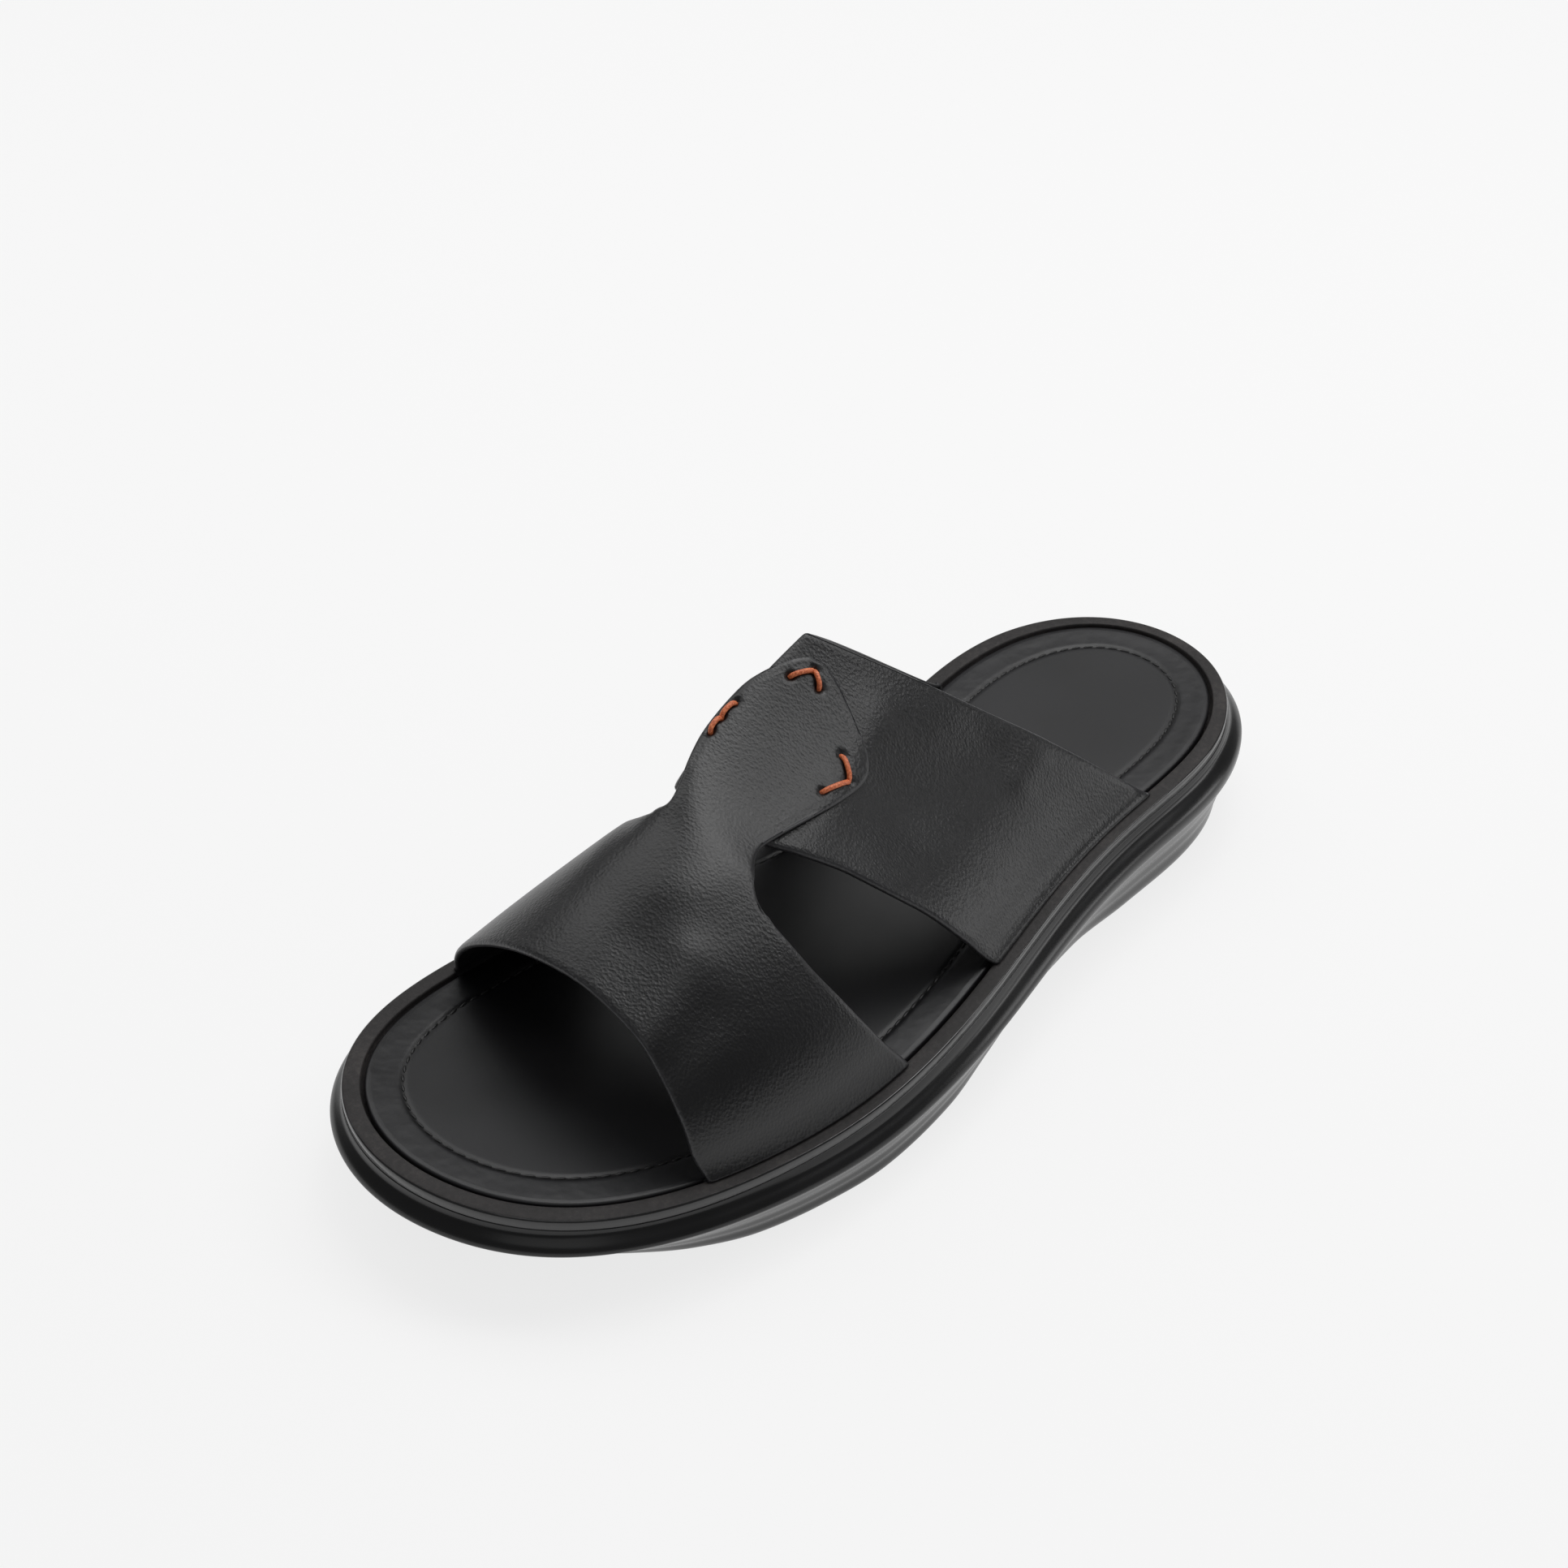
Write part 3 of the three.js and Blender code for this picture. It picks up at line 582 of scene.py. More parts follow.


# Corrected-grain sheepskin over foam, rolled smooth: an even satin, puckered outside its seam, with
# painted shade that darkens the leather along the seam's trough
def insole_leather():
    material, tree, shader, place = new_material("sock leather, rolled smooth", IOR=1.47)
    patches = add(tree, "ShaderNodeTexNoise", Scale=per_mm(34), Detail=3.0, Vector=place)["Fac"]
    grain = add(tree, "ShaderNodeTexNoise", Scale=per_mm(0.9), Detail=4.0, Roughness=0.6, Vector=place)["Fac"]
    pucker = add(tree, "ShaderNodeTexNoise", Scale=per_mm(7), Detail=2.0, Vector=place)["Fac"]
    seam, pressed = (add(tree, "ShaderNodeAttribute", attribute_name=name)["Fac"]
                     for name in ("seam", "pressed"))
    pulled = add(tree, "ShaderNodeMath", operation="MULTIPLY", Value=[pucker, seam])["Value"]
    skin = add(tree, "ShaderNodeBump", Strength=0.2, Distance=0.08 * MM, Height=grain)["Normal"]
    ripple = add(tree, "ShaderNodeBump", Strength=0.5, Distance=0.6 * MM, Height=pulled,
                 Normal=skin)["Normal"]
    dyed = add(tree, "ShaderNodeValToRGB", ((0.3, "#0e0e10"), (0.72, "#131316")), Fac=patches)["Color"]
    # Painted shade: the leather along the seam's trough is painted near black
    colour = add(tree, "ShaderNodeMix", data_type="RGBA", Factor=pressed, A=dyed,
                 B=linear("#060606"))["Result"]
    gloss = add(tree, "ShaderNodeMapRange", Value=patches, From_Min=0.3, From_Max=0.7,
                To_Min=0.36, To_Max=0.46)["Result"]
    connect(tree, shader, Base_Color=colour, Roughness=gloss, Normal=ripple)
    return material


# Die-cut rubberised board round the insole, buffed: a dusty brown-black matt top
def rim_top():
    material, tree, shader, place = new_material("rubber board, buffed", Roughness=0.72)
    dust = add(tree, "ShaderNodeTexNoise", Scale=per_mm(1.4), Detail=6.0, Roughness=0.7, Vector=place)["Fac"]
    patches = add(tree, "ShaderNodeTexNoise", Scale=per_mm(18), Detail=3.0, Vector=place)["Fac"]
    worn = add(tree, "ShaderNodeMix", data_type="FLOAT", Factor=0.45, A=dust, B=patches)["Result"]
    stops = ((0.36, "#161413"), (0.5, "#232020"), (0.68, "#3a3634"))
    colour = add(tree, "ShaderNodeValToRGB", stops, Fac=worn)["Color"]
    rough = add(tree, "ShaderNodeBump", Strength=0.5, Distance=0.2 * MM, Height=dust)["Normal"]
    connect(tree, shader, Base_Color=colour, Normal=rough)
    return material


# The same board's side, brushed with edge paint: a thick uneven gloss
def rim_side():
    return mottled("edge paint, brushed", 6, 4.0, ((0.3, "#0b0b0c"), (0.7, "#161617")),
                   {"strength": 0.6, "depth": 0.35}, Roughness=0.2, Coat_Weight=0.4)


# Moulded rubber from a polished mould: deep black with a clear, slightly greasy gloss
def sole_rubber():
    material, tree, shader, place = new_material("rubber, moulded and polished", IOR=1.46)
    patches = add(tree, "ShaderNodeTexNoise", Scale=per_mm(22), Detail=3.0, Vector=place)["Fac"]
    fine = add(tree, "ShaderNodeTexNoise", Scale=per_mm(0.8), Detail=3.0, Vector=place)["Fac"]
    colour = add(tree, "ShaderNodeValToRGB", ((0.3, "#0c0c0d"), (0.7, "#121213")), Fac=patches)["Color"]
    gloss = add(tree, "ShaderNodeMapRange", Value=patches, To_Min=0.2, To_Max=0.3)["Result"]
    skin = add(tree, "ShaderNodeBump", Strength=0.08, Distance=0.08 * MM, Height=fine)["Normal"]
    connect(tree, shader, Base_Color=colour, Roughness=gloss, Normal=skin)
    return material


# Bonded polyester thread, black: dull, and a little lighter along its lay
def seam_thread():
    return mottled("polyester thread, bonded", 0.3, 2.0, ((0.35, "#040405"), (0.7, "#0d0d0e")), Roughness=0.5)


# Braided linen thread, dyed terracotta and waxed: warm orange with a darker lay and a waxy shine
def waxed_thread():
    return mottled("linen thread, braided and waxed", 0.5, 3.0,
                   ((0.3, "#a04a2a"), (0.55, "#d07044"), (0.75, "#ea9669")),
                   {"strength": 0.6, "depth": 0.12}, Roughness=0.45)


STRAP_FINISHES = (strap_leather(), cut_edge(), strap_lining())
SOCK = insole_leather()
RIM_TOP = rim_top()
RIM_SIDE = rim_side()
RUBBER = sole_rubber()
BLACK_THREAD = seam_thread()
ORANGE_THREAD = waxed_thread()


# The form under the straps

def raw_point(stage, degrees):
    """A point of the form, which is two rounded halves that meet on the crest."""
    angle = np.radians(np.clip(degrees, 0, 180))
    stage = np.broadcast_to(np.asarray(stage, float), angle.shape)
    side = np.cos(angle)
    near = side >= 0
    power = 2 / np.where(near, FORM["near_round"](stage), FORM["far_round"](stage))
    spread = np.abs(side) ** power
    climb = np.abs(np.sin(angle)) ** power
    foot_along = np.where(near, FORM["near"](stage), FORM["far"](stage))
    foot_y = y_at(foot_along)
    y = foot_y + (y_at(FORM["crest"](stage)) - foot_y) * climb
    crest_x = FORM["across"](stage) * BALL_WIDTH
    outer = line_at(OUTER_LINE, foot_y) + LEG_STAND_OFF
    inner = line_at(INNER_LINE, foot_y) - LEG_STAND_OFF
    foot_x = np.where(near, outer, inner)
    x = crest_x + (foot_x - crest_x) * spread
    z = deck_top(foot_y) + FORM["rise"](stage) * INSTEP_HEIGHT * climb
    return np.stack([x, y, z], axis=-1)


# The outer and the inner half of the form meet on the crest, where a weighted mean of places
# this far apart round the foot takes away the crease. It is wider at the front strap and the neck
# than at the rear strap, and fades out towards the legs.
BLEND = {"front": 6.5, "rear": 2.5, "from": 2.9, "to": 4.2, "fade": 45, "weights": (1, 4, 6, 4, 1)}


def form_point(stage, degrees):
    """A point of the form with its crest evened out."""
    degrees = np.clip(degrees, 0, 180)
    to_rear = smoothstep(BLEND["from"], BLEND["to"], stage)
    reach = BLEND["front"] + (BLEND["rear"] - BLEND["front"]) * to_rear
    step = reach * np.clip(np.minimum(degrees, 180 - degrees) / BLEND["fade"], 0, 1)
    total = sum(BLEND["weights"])
    return sum(weight / total * raw_point(stage, degrees + (k - 2) * step)
               for k, weight in enumerate(BLEND["weights"]))


# How far apart the points are whose difference gives the form's slopes
SLOPE = {"degrees": 4, "stage": 0.03}


def form_normal(stage, degrees):
    round_foot = form_point(stage, degrees + SLOPE["degrees"]) - form_point(stage, degrees - SLOPE["degrees"])
    along_foot = form_point(stage + SLOPE["stage"], degrees) - form_point(stage - SLOPE["stage"], degrees)
    normal = np.cross(along_foot, round_foot)
    return normal / np.linalg.norm(normal, axis=-1, keepdims=True)


def over_point(stage, degrees):
    """The front strap's face, which climbs over the rear strap."""
    past = np.maximum(np.maximum(NECK["near"] - degrees, degrees - NECK["far"]), 0)
    in_neck = 1 - smoothstep(0, CLIMB["beside"], past)
    on_top = smoothstep(CLIMB["start"], CLIMB["end"], stage)
    reach = np.where(stage > NECK["stage"], 1, in_neck)
    lift = (STRAP_THICK + CLEARANCE) * on_top * reach
    point = form_point(stage, degrees) + form_normal(stage, degrees) * lift[..., None]
    comes = smoothstep(SWELL["begin"], SWELL["full"], degrees)
    goes = smoothstep(SWELL["keep"], SWELL["end"], degrees)
    away = (point[..., 1] - y_at(SWELL["along"])) / SWELL["reach"]
    point[..., 2] += SWELL["height"] * comes * (1 - goes) * np.exp(-(away ** 2))
    return point


# Straps

FINE_ANGLES = 400


def even_angles(start, end, stage, count):
    """Angles whose points are evenly spaced on the form at a stage."""
    fine = np.linspace(start, end, FINE_ANGLES)
    run = np.concatenate([[0], np.cumsum(np.linalg.norm(np.diff(form_point(stage, fine), axis=0), axis=1))])
    return np.interp(np.linspace(0, run[-1], count + 1), run, fine)


# Section of a strap's edge, from its face round to its back: inwards and down. The face itself
# rolls down towards the edge.
EDGE_SECTION = ((0.50, 0.00), (0.16, 0.43), (0.00, 0.74), (0.00, 1.25), (0.13, 1.64), (0.45, 1.80))
EDGE_ROLL = {"depth": 0.4, "width": 1.6}
EDGE_REACH = 6
GAP_BATCH = 2000
TINY = 1e-9


def edge_gap(points, starts, ends):
    """How far each point is from the nearest of the edge's short lines, up to the reach."""
    run = ends - starts
    length = np.maximum((run ** 2).sum(axis=1), TINY)
    gaps = np.full(len(points), float(EDGE_REACH))
    for first in range(0, len(points), GAP_BATCH):
        some = points[first:first + GAP_BATCH, None, :] - starts
        share = np.clip((some * run).sum(axis=2) / length, 0, 1)
        nearest = np.linalg.norm(some - share[..., None] * run, axis=2).min(axis=1)
        gaps[first:first + GAP_BATCH] = np.minimum(nearest, EDGE_REACH)
    return gaps


# The straps' finishes by number, and how many steps of the edge's section still have the face's
FACE, EDGE, BACK = 0, 1, 2
FACE_LEVELS = 2


def strap_shell(points, normals, quads, masks):
    """A leather strap from a sheet: its face, its rounded cut edge and its lining."""
    quads = np.asarray(quads)
    edges = {}
    for face in quads.tolist():
        for k in range(4):
            a, b = face[k], face[(k + 1) % 4]
            if not edges.pop((b, a), False):
                edges[(a, b)] = True
    pairs = np.array(list(edges))
    outward = np.zeros_like(points)
    for a, b in pairs:
        run = points[b] - points[a]
        run /= max(np.linalg.norm(run), TINY)
        outward[a] += np.cross(run, normals[a])
        outward[b] += np.cross(run, normals[b])
    rim = np.linalg.norm(outward, axis=1) > TINY
    outward[rim] /= np.linalg.norm(outward[rim], axis=1)[:, None]
    gap = edge_gap(points, points[pairs[:, 0]], points[pairs[:, 1]])
    gap[rim] = EDGE_SECTION[0][0]
    roll = EDGE_ROLL["depth"] * np.clip(1 - gap / EDGE_ROLL["width"], 0, 1) ** 2
    shell = Shell()
    face = shell.add_points(points - outward * EDGE_SECTION[0][0] - normals * roll[:, None])
    back = shell.add_points(points - outward * EDGE_SECTION[-1][0] - normals * STRAP_THICK)
    shell.add_faces(face[quads], FACE)
    shell.add_faces(back[quads][:, ::-1], BACK)
    rim_numbers = np.where(rim)[0]
    place = np.full(len(points), -1)
    place[rim_numbers] = np.arange(len(rim_numbers))
    levels = [face[rim_numbers]]
    gaps = [gap, gap]
    for inward, down in EDGE_SECTION[1:-1]:
        ring = points[rim_numbers] - outward[rim_numbers] * inward - normals[rim_numbers] * down
        levels.append(shell.add_points(ring))
        gaps.append(np.zeros(len(ring)))
    levels.append(back[rim_numbers])
    pairs = place[pairs]
    a, b = pairs.T
    for level, (upper, lower) in enumerate(zip(levels[:-1], levels[1:])):
        finish = FACE if level < FACE_LEVELS else EDGE
        shell.add_faces(np.stack([upper[a], lower[a], lower[b], upper[b]], axis=1), finish)
    full = {"edge": np.concatenate(gaps)}
    for mask, values in masks.items():
        full[mask] = np.concatenate([values, values, np.zeros(shell.count - 2 * len(values))])
    return shell, full


# Each leg flares out over the rim's edge and is tucked under into the groove: out and up in
# millimetres, and the angle over which it does so. Below that, its depth as a share and how much
# of the flare is left there.
FLARE = {"out": 1.9, "up": 0.9, "degrees": 11}
LEG_SHARES = (1, 0.5)
LEG_FLARES = (0, 0.35)


def band_sheet(start_edge, end_edge, angles, rows, place, relief):
    """Points, normals and quads of a band over the foot, with its legs."""
    columns = [(0, share * LEG_DEPTH, flare) for share, flare in zip(LEG_SHARES, LEG_FLARES)]
    columns += [(angle, 0, 1) for angle in angles]
    columns += [(180, depth, flare) for _, depth, flare in columns[len(LEG_SHARES) - 1::-1]]
    degrees = np.repeat([float(c[0]) for c in columns], rows + 1)
    share = np.tile(np.linspace(0, 1, rows + 1), len(columns))
    stage = start_edge(degrees) + (end_edge(degrees) - start_edge(degrees)) * share
    normals = form_normal(stage, degrees)
    points = place(stage, degrees) + normals * relief(stage, degrees)[:, None]
    points[:, 2] -= np.repeat([c[1] for c in columns], rows + 1)
    from_leg = np.minimum(degrees, 180 - degrees) / FLARE["degrees"]
    flare = np.clip(1 - from_leg, 0, 1) ** 2 * np.repeat([float(c[2]) for c in columns], rows + 1)
    points[:, 0] += np.sign(90 - degrees) * FLARE["out"] * flare
    points[:, 2] += FLARE["up"] * flare
    first = np.arange(len(columns) - 1)[:, None] * (rows + 1) + np.arange(rows)
    quads = np.stack([first, first + 1, first + rows + 2, first + rows + 1], axis=-1).reshape(-1, 4)
    return points, normals, quads


# Soft folds of the straps: a ridge or a trough along a line from one place to another. Each place
# is a stage and an angle, height is millimetres and the width is millimetres on the leather.
FRONT_FOLDS = (
    {"start": (0.00, 57), "end": (0.90, 66), "height": 0.7, "width": 6},
    {"start": (0.00, 46), "end": (0.70, 50), "height": -0.6, "width": 6},
    {"start": (0.00, 74), "end": (0.60, 78), "height": -0.5, "width": 8},
    {"start": (1.28, 76), "end": (1.05, 68), "height": 0.55, "width": 10},
)
REAR_FOLDS = (
    {"start": (4.48, 58), "end": (3.20, 56), "height": 0.8, "width": 7},
    {"start": (3.90, 42), "end": (4.70, 40), "height": -1.2, "width": 12},
    {"start": (4.88, 33), "end": (4.60, 31), "height": 0.5, "width": 5},
)
# Where the skin is drawn into fine wrinkles: a place, and the reach in millimetres
WRINKLES = (
    {"place": (0.09, 120), "reach": 11},
    {"place": (1.70, 62), "reach": 7},
    {"place": (0.25, 66), "reach": 8},
    {"place": (3.20, 57), "reach": 7},
    {"place": (4.80, 32), "reach": 7},
)


def folds(table):
    """A function that gives the height of all folds of a table at a stage and an angle."""
    def height(stage, degrees):
        total = np.zeros(np.shape(stage))
        point = form_point(stage, degrees)
        for row in table:
            start = form_point(*np.array(row["start"], float))
            run = form_point(*np.array(row["end"], float)) - start
            share = np.clip(((point - start) @ run) / (run @ run), 0, 1)
            gap = np.linalg.norm(point - start - share[..., None] * run, axis=-1)
            total = total + row["height"] * np.exp(-((gap / row["width"]) ** 2))
        return total
    return height


def wrinkled(points):
    """How strongly the skin is wrinkled at each point, from 0 to 1."""
    mask = np.zeros(len(points))
    for row in WRINKLES:
        gap = np.linalg.norm(points - form_point(*np.array(row["place"], float)), axis=1)
        mask = np.maximum(mask, np.exp(-((gap / row["reach"]) ** 2)))
    return mask


# The three groups of stitches that hold the tab: each has its corner hole and its two end holes,
# as stages and angles
STITCH_GROUPS = (
    {"corner": (4.60, 75.0), "ends": ((4.45, 79.0), (4.47, 71.0))},
    {"corner": (3.86, 55.0), "ends": ((4.03, 59.0), (3.68, 58.0))},
    {"corner": (3.86, 90.0), "ends": ((4.03, 89.0), (3.71, 90.0))},
)
HOLE = {"radius": 1.0, "depth": 1.3}


def hole_mask(points):
    """How deep in a stitch hole each point is, from 0 to 1."""
    mask = np.zeros(len(points))
    for group in STITCH_GROUPS:
        for stage, degrees in (group["corner"], *group["ends"]):
            centre = over_point(np.array(stage), np.array(degrees))
            gap = np.linalg.norm(points - centre, axis=1)
            mask = np.maximum(mask, np.exp(-((gap / HOLE["radius"]) ** 2)))
    return mask


# How finely the straps are divided, along the shoe and round the foot
BAND_ROWS = 62
TAB_ROWS = 112
NECK_COLUMNS = 72
ROUND_COLUMNS = 16
OUTER_COLUMNS = 72
INNER_COLUMNS = 76
REAR_ROWS = 74
REAR_COLUMNS = 210
FRONT_RELIEF = folds(FRONT_FOLDS + REAR_FOLDS)
REAR_RELIEF = folds(REAR_FOLDS)


def front_rear_edge(degrees):
    """The front strap's rear edge, rounded where it runs into the neck."""
    edge = EDGES["front_rear"](degrees)
    for corner in NECK_ROUNDS:
        share = np.clip((degrees - corner["start"]) / (corner["end"] - corner["start"]), 0, 1)
        climb = 1 - np.sqrt(1 - share ** 2)
        curve = corner["stage"] + (NECK["stage"] - corner["stage"]) * climb
        edge = np.where((share > 0) & (share < 1), curve, edge)
    return edge


def into_neck(corner):
    """Angles from a neck round's start to its end, closer together where it is steep."""
    turns = np.sin(np.linspace(0, math.pi / 2, ROUND_COLUMNS + 1))
    return corner["start"] + (corner["end"] - corner["start"]) * turns


def tab_outline():
    rows = np.arange(len(TAB))
    fine = np.linspace(0, len(TAB) - 1, TAB_ROWS + 1)
    return [spline_of(rows, [row[k] for row in TAB])(fine) for k in range(3)]


# The neck is eased round its middle: each height there is that of a plane through the points
# about it. Full and end are the reach of the easing and reach is that of each plane, in millimetres.
EASE = {"place": (2.4, 91), "full": 11, "end": 23, "reach": 4.2}


def eased_heights(points):
    centre = over_point(*np.array(EASE["place"], float))
    gap = np.linalg.norm(points - centre, axis=1)
    share = 1 - smoothstep(EASE["full"], EASE["end"], gap)
    about = points[gap < EASE["end"] + 3 * EASE["reach"]]
    heights = points[:, 2].copy()
    for i in np.where(share > 0)[0]:
        away = about[:, :2] - points[i, :2]
        weight = np.exp(-(away ** 2).sum(axis=1) / (2 * EASE["reach"] ** 2))
        terms = np.column_stack([np.ones(len(about)), away])
        weighted = (terms * weight[:, None]).T
        level = np.linalg.solve(weighted @ terms, weighted @ about[:, 2])[0]
        heights[i] += share[i] * (level - heights[i])
    return heights


def tab_point(stage, degrees):
    """The face of the neck and the tab, with its folds."""
    return over_point(stage, degrees) + form_normal(stage, degrees) * FRONT_RELIEF(stage, degrees)[..., None]


def front_strap():
    outer, inner = NECK_ROUNDS
    near = np.concatenate([even_angles(0, outer["start"], 1.0, OUTER_COLUMNS), into_neck(outer)[1:]])
    neck = np.linspace(NECK["near"], NECK["far"], NECK_COLUMNS + 1)
    far = np.concatenate([into_neck(inner)[::-1], even_angles(inner["start"], 180, 1.0, INNER_COLUMNS)[1:]])
    angles = np.concatenate([near, neck[1:], far[1:]])
    band, band_normals, band_quads = band_sheet(
        EDGES["front_toe"], front_rear_edge, angles, BAND_ROWS, over_point, FRONT_RELIEF)
    first = len(LEG_SHARES) + len(near) - 1
    neck_row = (first + np.arange(NECK_COLUMNS + 1)) * (BAND_ROWS + 1) + BAND_ROWS
    across = np.linspace(0, 1, NECK_COLUMNS + 1)
    stages, nears, fars = (column[1:, None] for column in tab_outline())
    degrees = nears + (fars - nears) * across
    stage = np.broadcast_to(stages, degrees.shape)
    numbers = len(band) + np.arange(degrees.size).reshape(degrees.shape)
    rows = np.concatenate([neck_row[None], numbers])
    tab_quads = np.stack([rows[:-1, :-1], rows[1:, :-1], rows[1:, 1:], rows[:-1, 1:]], axis=-1)
    points = np.concatenate([band, tab_point(stage, degrees).reshape(-1, 3)])
    normals = np.concatenate([band_normals, form_normal(stage, degrees).reshape(-1, 3)])
    points[:, 2] = eased_heights(points)
    on_tab = np.zeros(len(points))
    on_tab[numbers] = smoothstep(0, CREASE["rows"], np.arange(TAB_ROWS))[:, None]
    holes = hole_mask(points)
    masks = {"hole": holes, "wrinkled": wrinkled(points), "tab": on_tab}
    points = points - normals * (holes * HOLE["depth"])[:, None]
    shell, masks = strap_shell(points, normals, np.concatenate([band_quads, tab_quads.reshape(-1, 4)]), masks)
    shell.make("front_strap_leather", "front_strap", "strap_leather", STRAP_FINISHES, masks)


def rear_strap():
    angles = even_angles(0, 180, 4.0, REAR_COLUMNS)
    points, normals, quads = band_sheet(
        EDGES["rear_toe"], EDGES["rear_heel"], angles, REAR_ROWS, form_point, REAR_RELIEF)
    masks = {"hole": np.zeros(len(points)), "wrinkled": wrinkled(points)}
    shell, masks = strap_shell(points, normals, quads, masks)
    shell.make("rear_strap_leather", "rear_strap", "strap_leather", STRAP_FINISHES, masks)


# Stitches are grown by small node trees from lines of points

def stitch_tree(name, sizes):
    """A node tree with a line coming in, a mesh going out and a named size for each input."""
    tree = bpy.data.node_groups.new(name, "GeometryNodeTree")
    tree.interface.new_socket("Line", in_out="INPUT", socket_type="NodeSocketGeometry")
    for label in sizes:
        tree.interface.new_socket(label, in_out="INPUT", socket_type="NodeSocketFloat")
    tree.interface.new_socket("Stitches", in_out="OUTPUT", socket_type="NodeSocketGeometry")
    return tree, add(tree, "NodeGroupInput")


def finish_tree(tree, geometry, material):
    real = add(tree, "GeometryNodeRealizeInstances", Geometry=geometry)["Geometry"]
    smooth = add(tree, "GeometryNodeSetShadeSmooth", Geometry=real)["Geometry"]
    finished = add(tree, "GeometryNodeSetMaterial", Geometry=smooth, Material=material)["Geometry"]
    add(tree, "NodeGroupOutput", Stitches=finished)


# How many sides the laid thread has, and each stitch of the seam
THREAD_SIDES = 12
STITCH_SIDES = 8


def laid_thread_tree():
    """Round thread along each line, closed at its ends."""
    tree, given = stitch_tree("laid thread", ("Thickness",))
    curve = add(tree, "GeometryNodeMeshToCurve", Mesh=given["Line"])["Curve"]
    half = add(tree, "ShaderNodeMath", operation="MULTIPLY", Value=[given["Thickness"], 0.5])["Value"]
    ring = add(tree, "GeometryNodeCurvePrimitiveCircle", Resolution=THREAD_SIDES, Radius=half)["Curve"]
    tube = add(tree, "GeometryNodeCurveToMesh", Curve=curve, Profile_Curve=ring, Fill_Caps=True)["Mesh"]
    finish_tree(tree, tube, ORANGE_THREAD)
    return tree


def seam_tree():
    """A slanted stitch at every pitch of each line."""
    tree, given = stitch_tree("seam", ("Pitch", "Length", "Thickness", "Slant"))
    curve = add(tree, "GeometryNodeMeshToCurve", Mesh=given["Line"])["Curve"]
    places = add(tree, "GeometryNodeCurveToPoints", mode="LENGTH", Curve=curve, Length=given["Pitch"])
    level = add(tree, "FunctionNodeAlignRotationToVector", axis="X", pivot_axis="Z",
                Vector=places["Tangent"])["Rotation"]
    along = add(tree, "FunctionNodeAlignRotationToVector", axis="X", Rotation=level,
                Vector=places["Tangent"])["Rotation"]
    thick = given["Thickness"]
    size = add(tree, "ShaderNodeCombineXYZ", X=given["Length"], Y=thick, Z=thick)["Vector"]
    turn = add(tree, "ShaderNodeCombineXYZ", Z=given["Slant"])["Vector"]
    bead = add(tree, "GeometryNodeMeshUVSphere", Segments=STITCH_SIDES, Rings=STITCH_SIDES,
               Radius=0.5)["Mesh"]
    stitch = add(tree, "GeometryNodeTransform", Geometry=bead, Scale=size, Rotation=turn)["Geometry"]
    laid = add(tree, "GeometryNodeInstanceOnPoints", Points=places["Points"], Instance=stitch,
               Rotation=along)["Instances"]
    finish_tree(tree, laid, BLACK_THREAD)
    return tree


def grown(name, tree, sizes, points, edges):
    """A piece made by a node tree from lines of points in millimetres."""
    line = bpy.data.meshes.new(name + "_line")
    line.from_pydata(((np.asarray(points) + SHIFT) * MM).tolist(), edges, [])
    holder = bpy.data.objects.new(name + "_line", line)
    bpy.context.scene.collection.objects.link(holder)
    modifier = holder.modifiers.new("stitches", "NODES")
    modifier.node_group = tree
    for item in tree.interface.items_tree:
        if item.name in sizes:
            modifier[item.identifier] = sizes[item.name]
    solid = holder.evaluated_get(bpy.context.evaluated_depsgraph_get())
    mesh = bpy.data.meshes.new_from_object(solid)
    holder.modifiers.remove(modifier)
    bpy.data.objects.remove(holder)
    piece = bpy.data.objects.new(name, mesh)
    bpy.context.scene.collection.objects.link(piece)
    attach(piece, "root")


# Each stitch of the tab from hole to hole: share of the way, and height over the leather
TAB_STITCH = ((0.00, -1.0), (0.05, -0.45), (0.12, 0.15), (0.24, 0.55), (0.38, 0.68), (0.50, 0.72),
              (0.62, 0.68), (0.76, 0.55), (0.88, 0.15), (0.95, -0.45), (1.00, -1.0))
# Thickness of their thread in millimetres
TAB_THREAD = 1.25


def tab_stitches():
    points = []
    edges = []
    shares, heights = np.array(TAB_STITCH).T
    for group in STITCH_GROUPS:
        for end in group["ends"]:
            stage = group["corner"][0] + (end[0] - group["corner"][0]) * shares
            degrees = group["corner"][1] + (end[1] - group["corner"][1]) * shares
            first = len(points)
            points.extend(tab_point(stage, degrees) + form_normal(stage, degrees) * heights[:, None])
            edges.extend((first + k, first + k + 1) for k in range(len(shares) - 1))
    sizes = {"Thickness": TAB_THREAD * MM}
    grown("tab_stitches", laid_thread_tree(), sizes, points, edges)


# The insole's seam: the sizes of its stitches in metres and their slant in radians, how far inside
# the edge it runs and the trough it lies in, both in millimetres
SEAM = {"Pitch": 3.4 * MM, "Length": 2.8 * MM, "Thickness": 0.8 * MM, "Slant": 0.12}
SEAM_INSET = 8.7
SEAM_TROUGH = {"depth": 0.36, "width": 0.7}
RING_ROWS = 240


def insole_seam():
    ring = Ring(RING_ROWS)
    points = ring.edge(-SEAM_INSET, 0)
    points[:, 2] = deck_top(points[:, 1]) - SEAM_TROUGH["depth"] - bed_depth(points)
    count = len(points)
    edges = [(k, (k + 1) % count) for k in range(count)]
    grown("insole_seam", seam_tree(), SEAM, points, edges)


# The insole: a rounded edge, a seam trough all round and a bed worn in at the heel, whose place is
# in shares of the insole's length and the ball width and whose sizes are millimetres

BED = {"along": 0.13, "across": 0.005, "length": 40, "width": 26, "depth": 0.6}


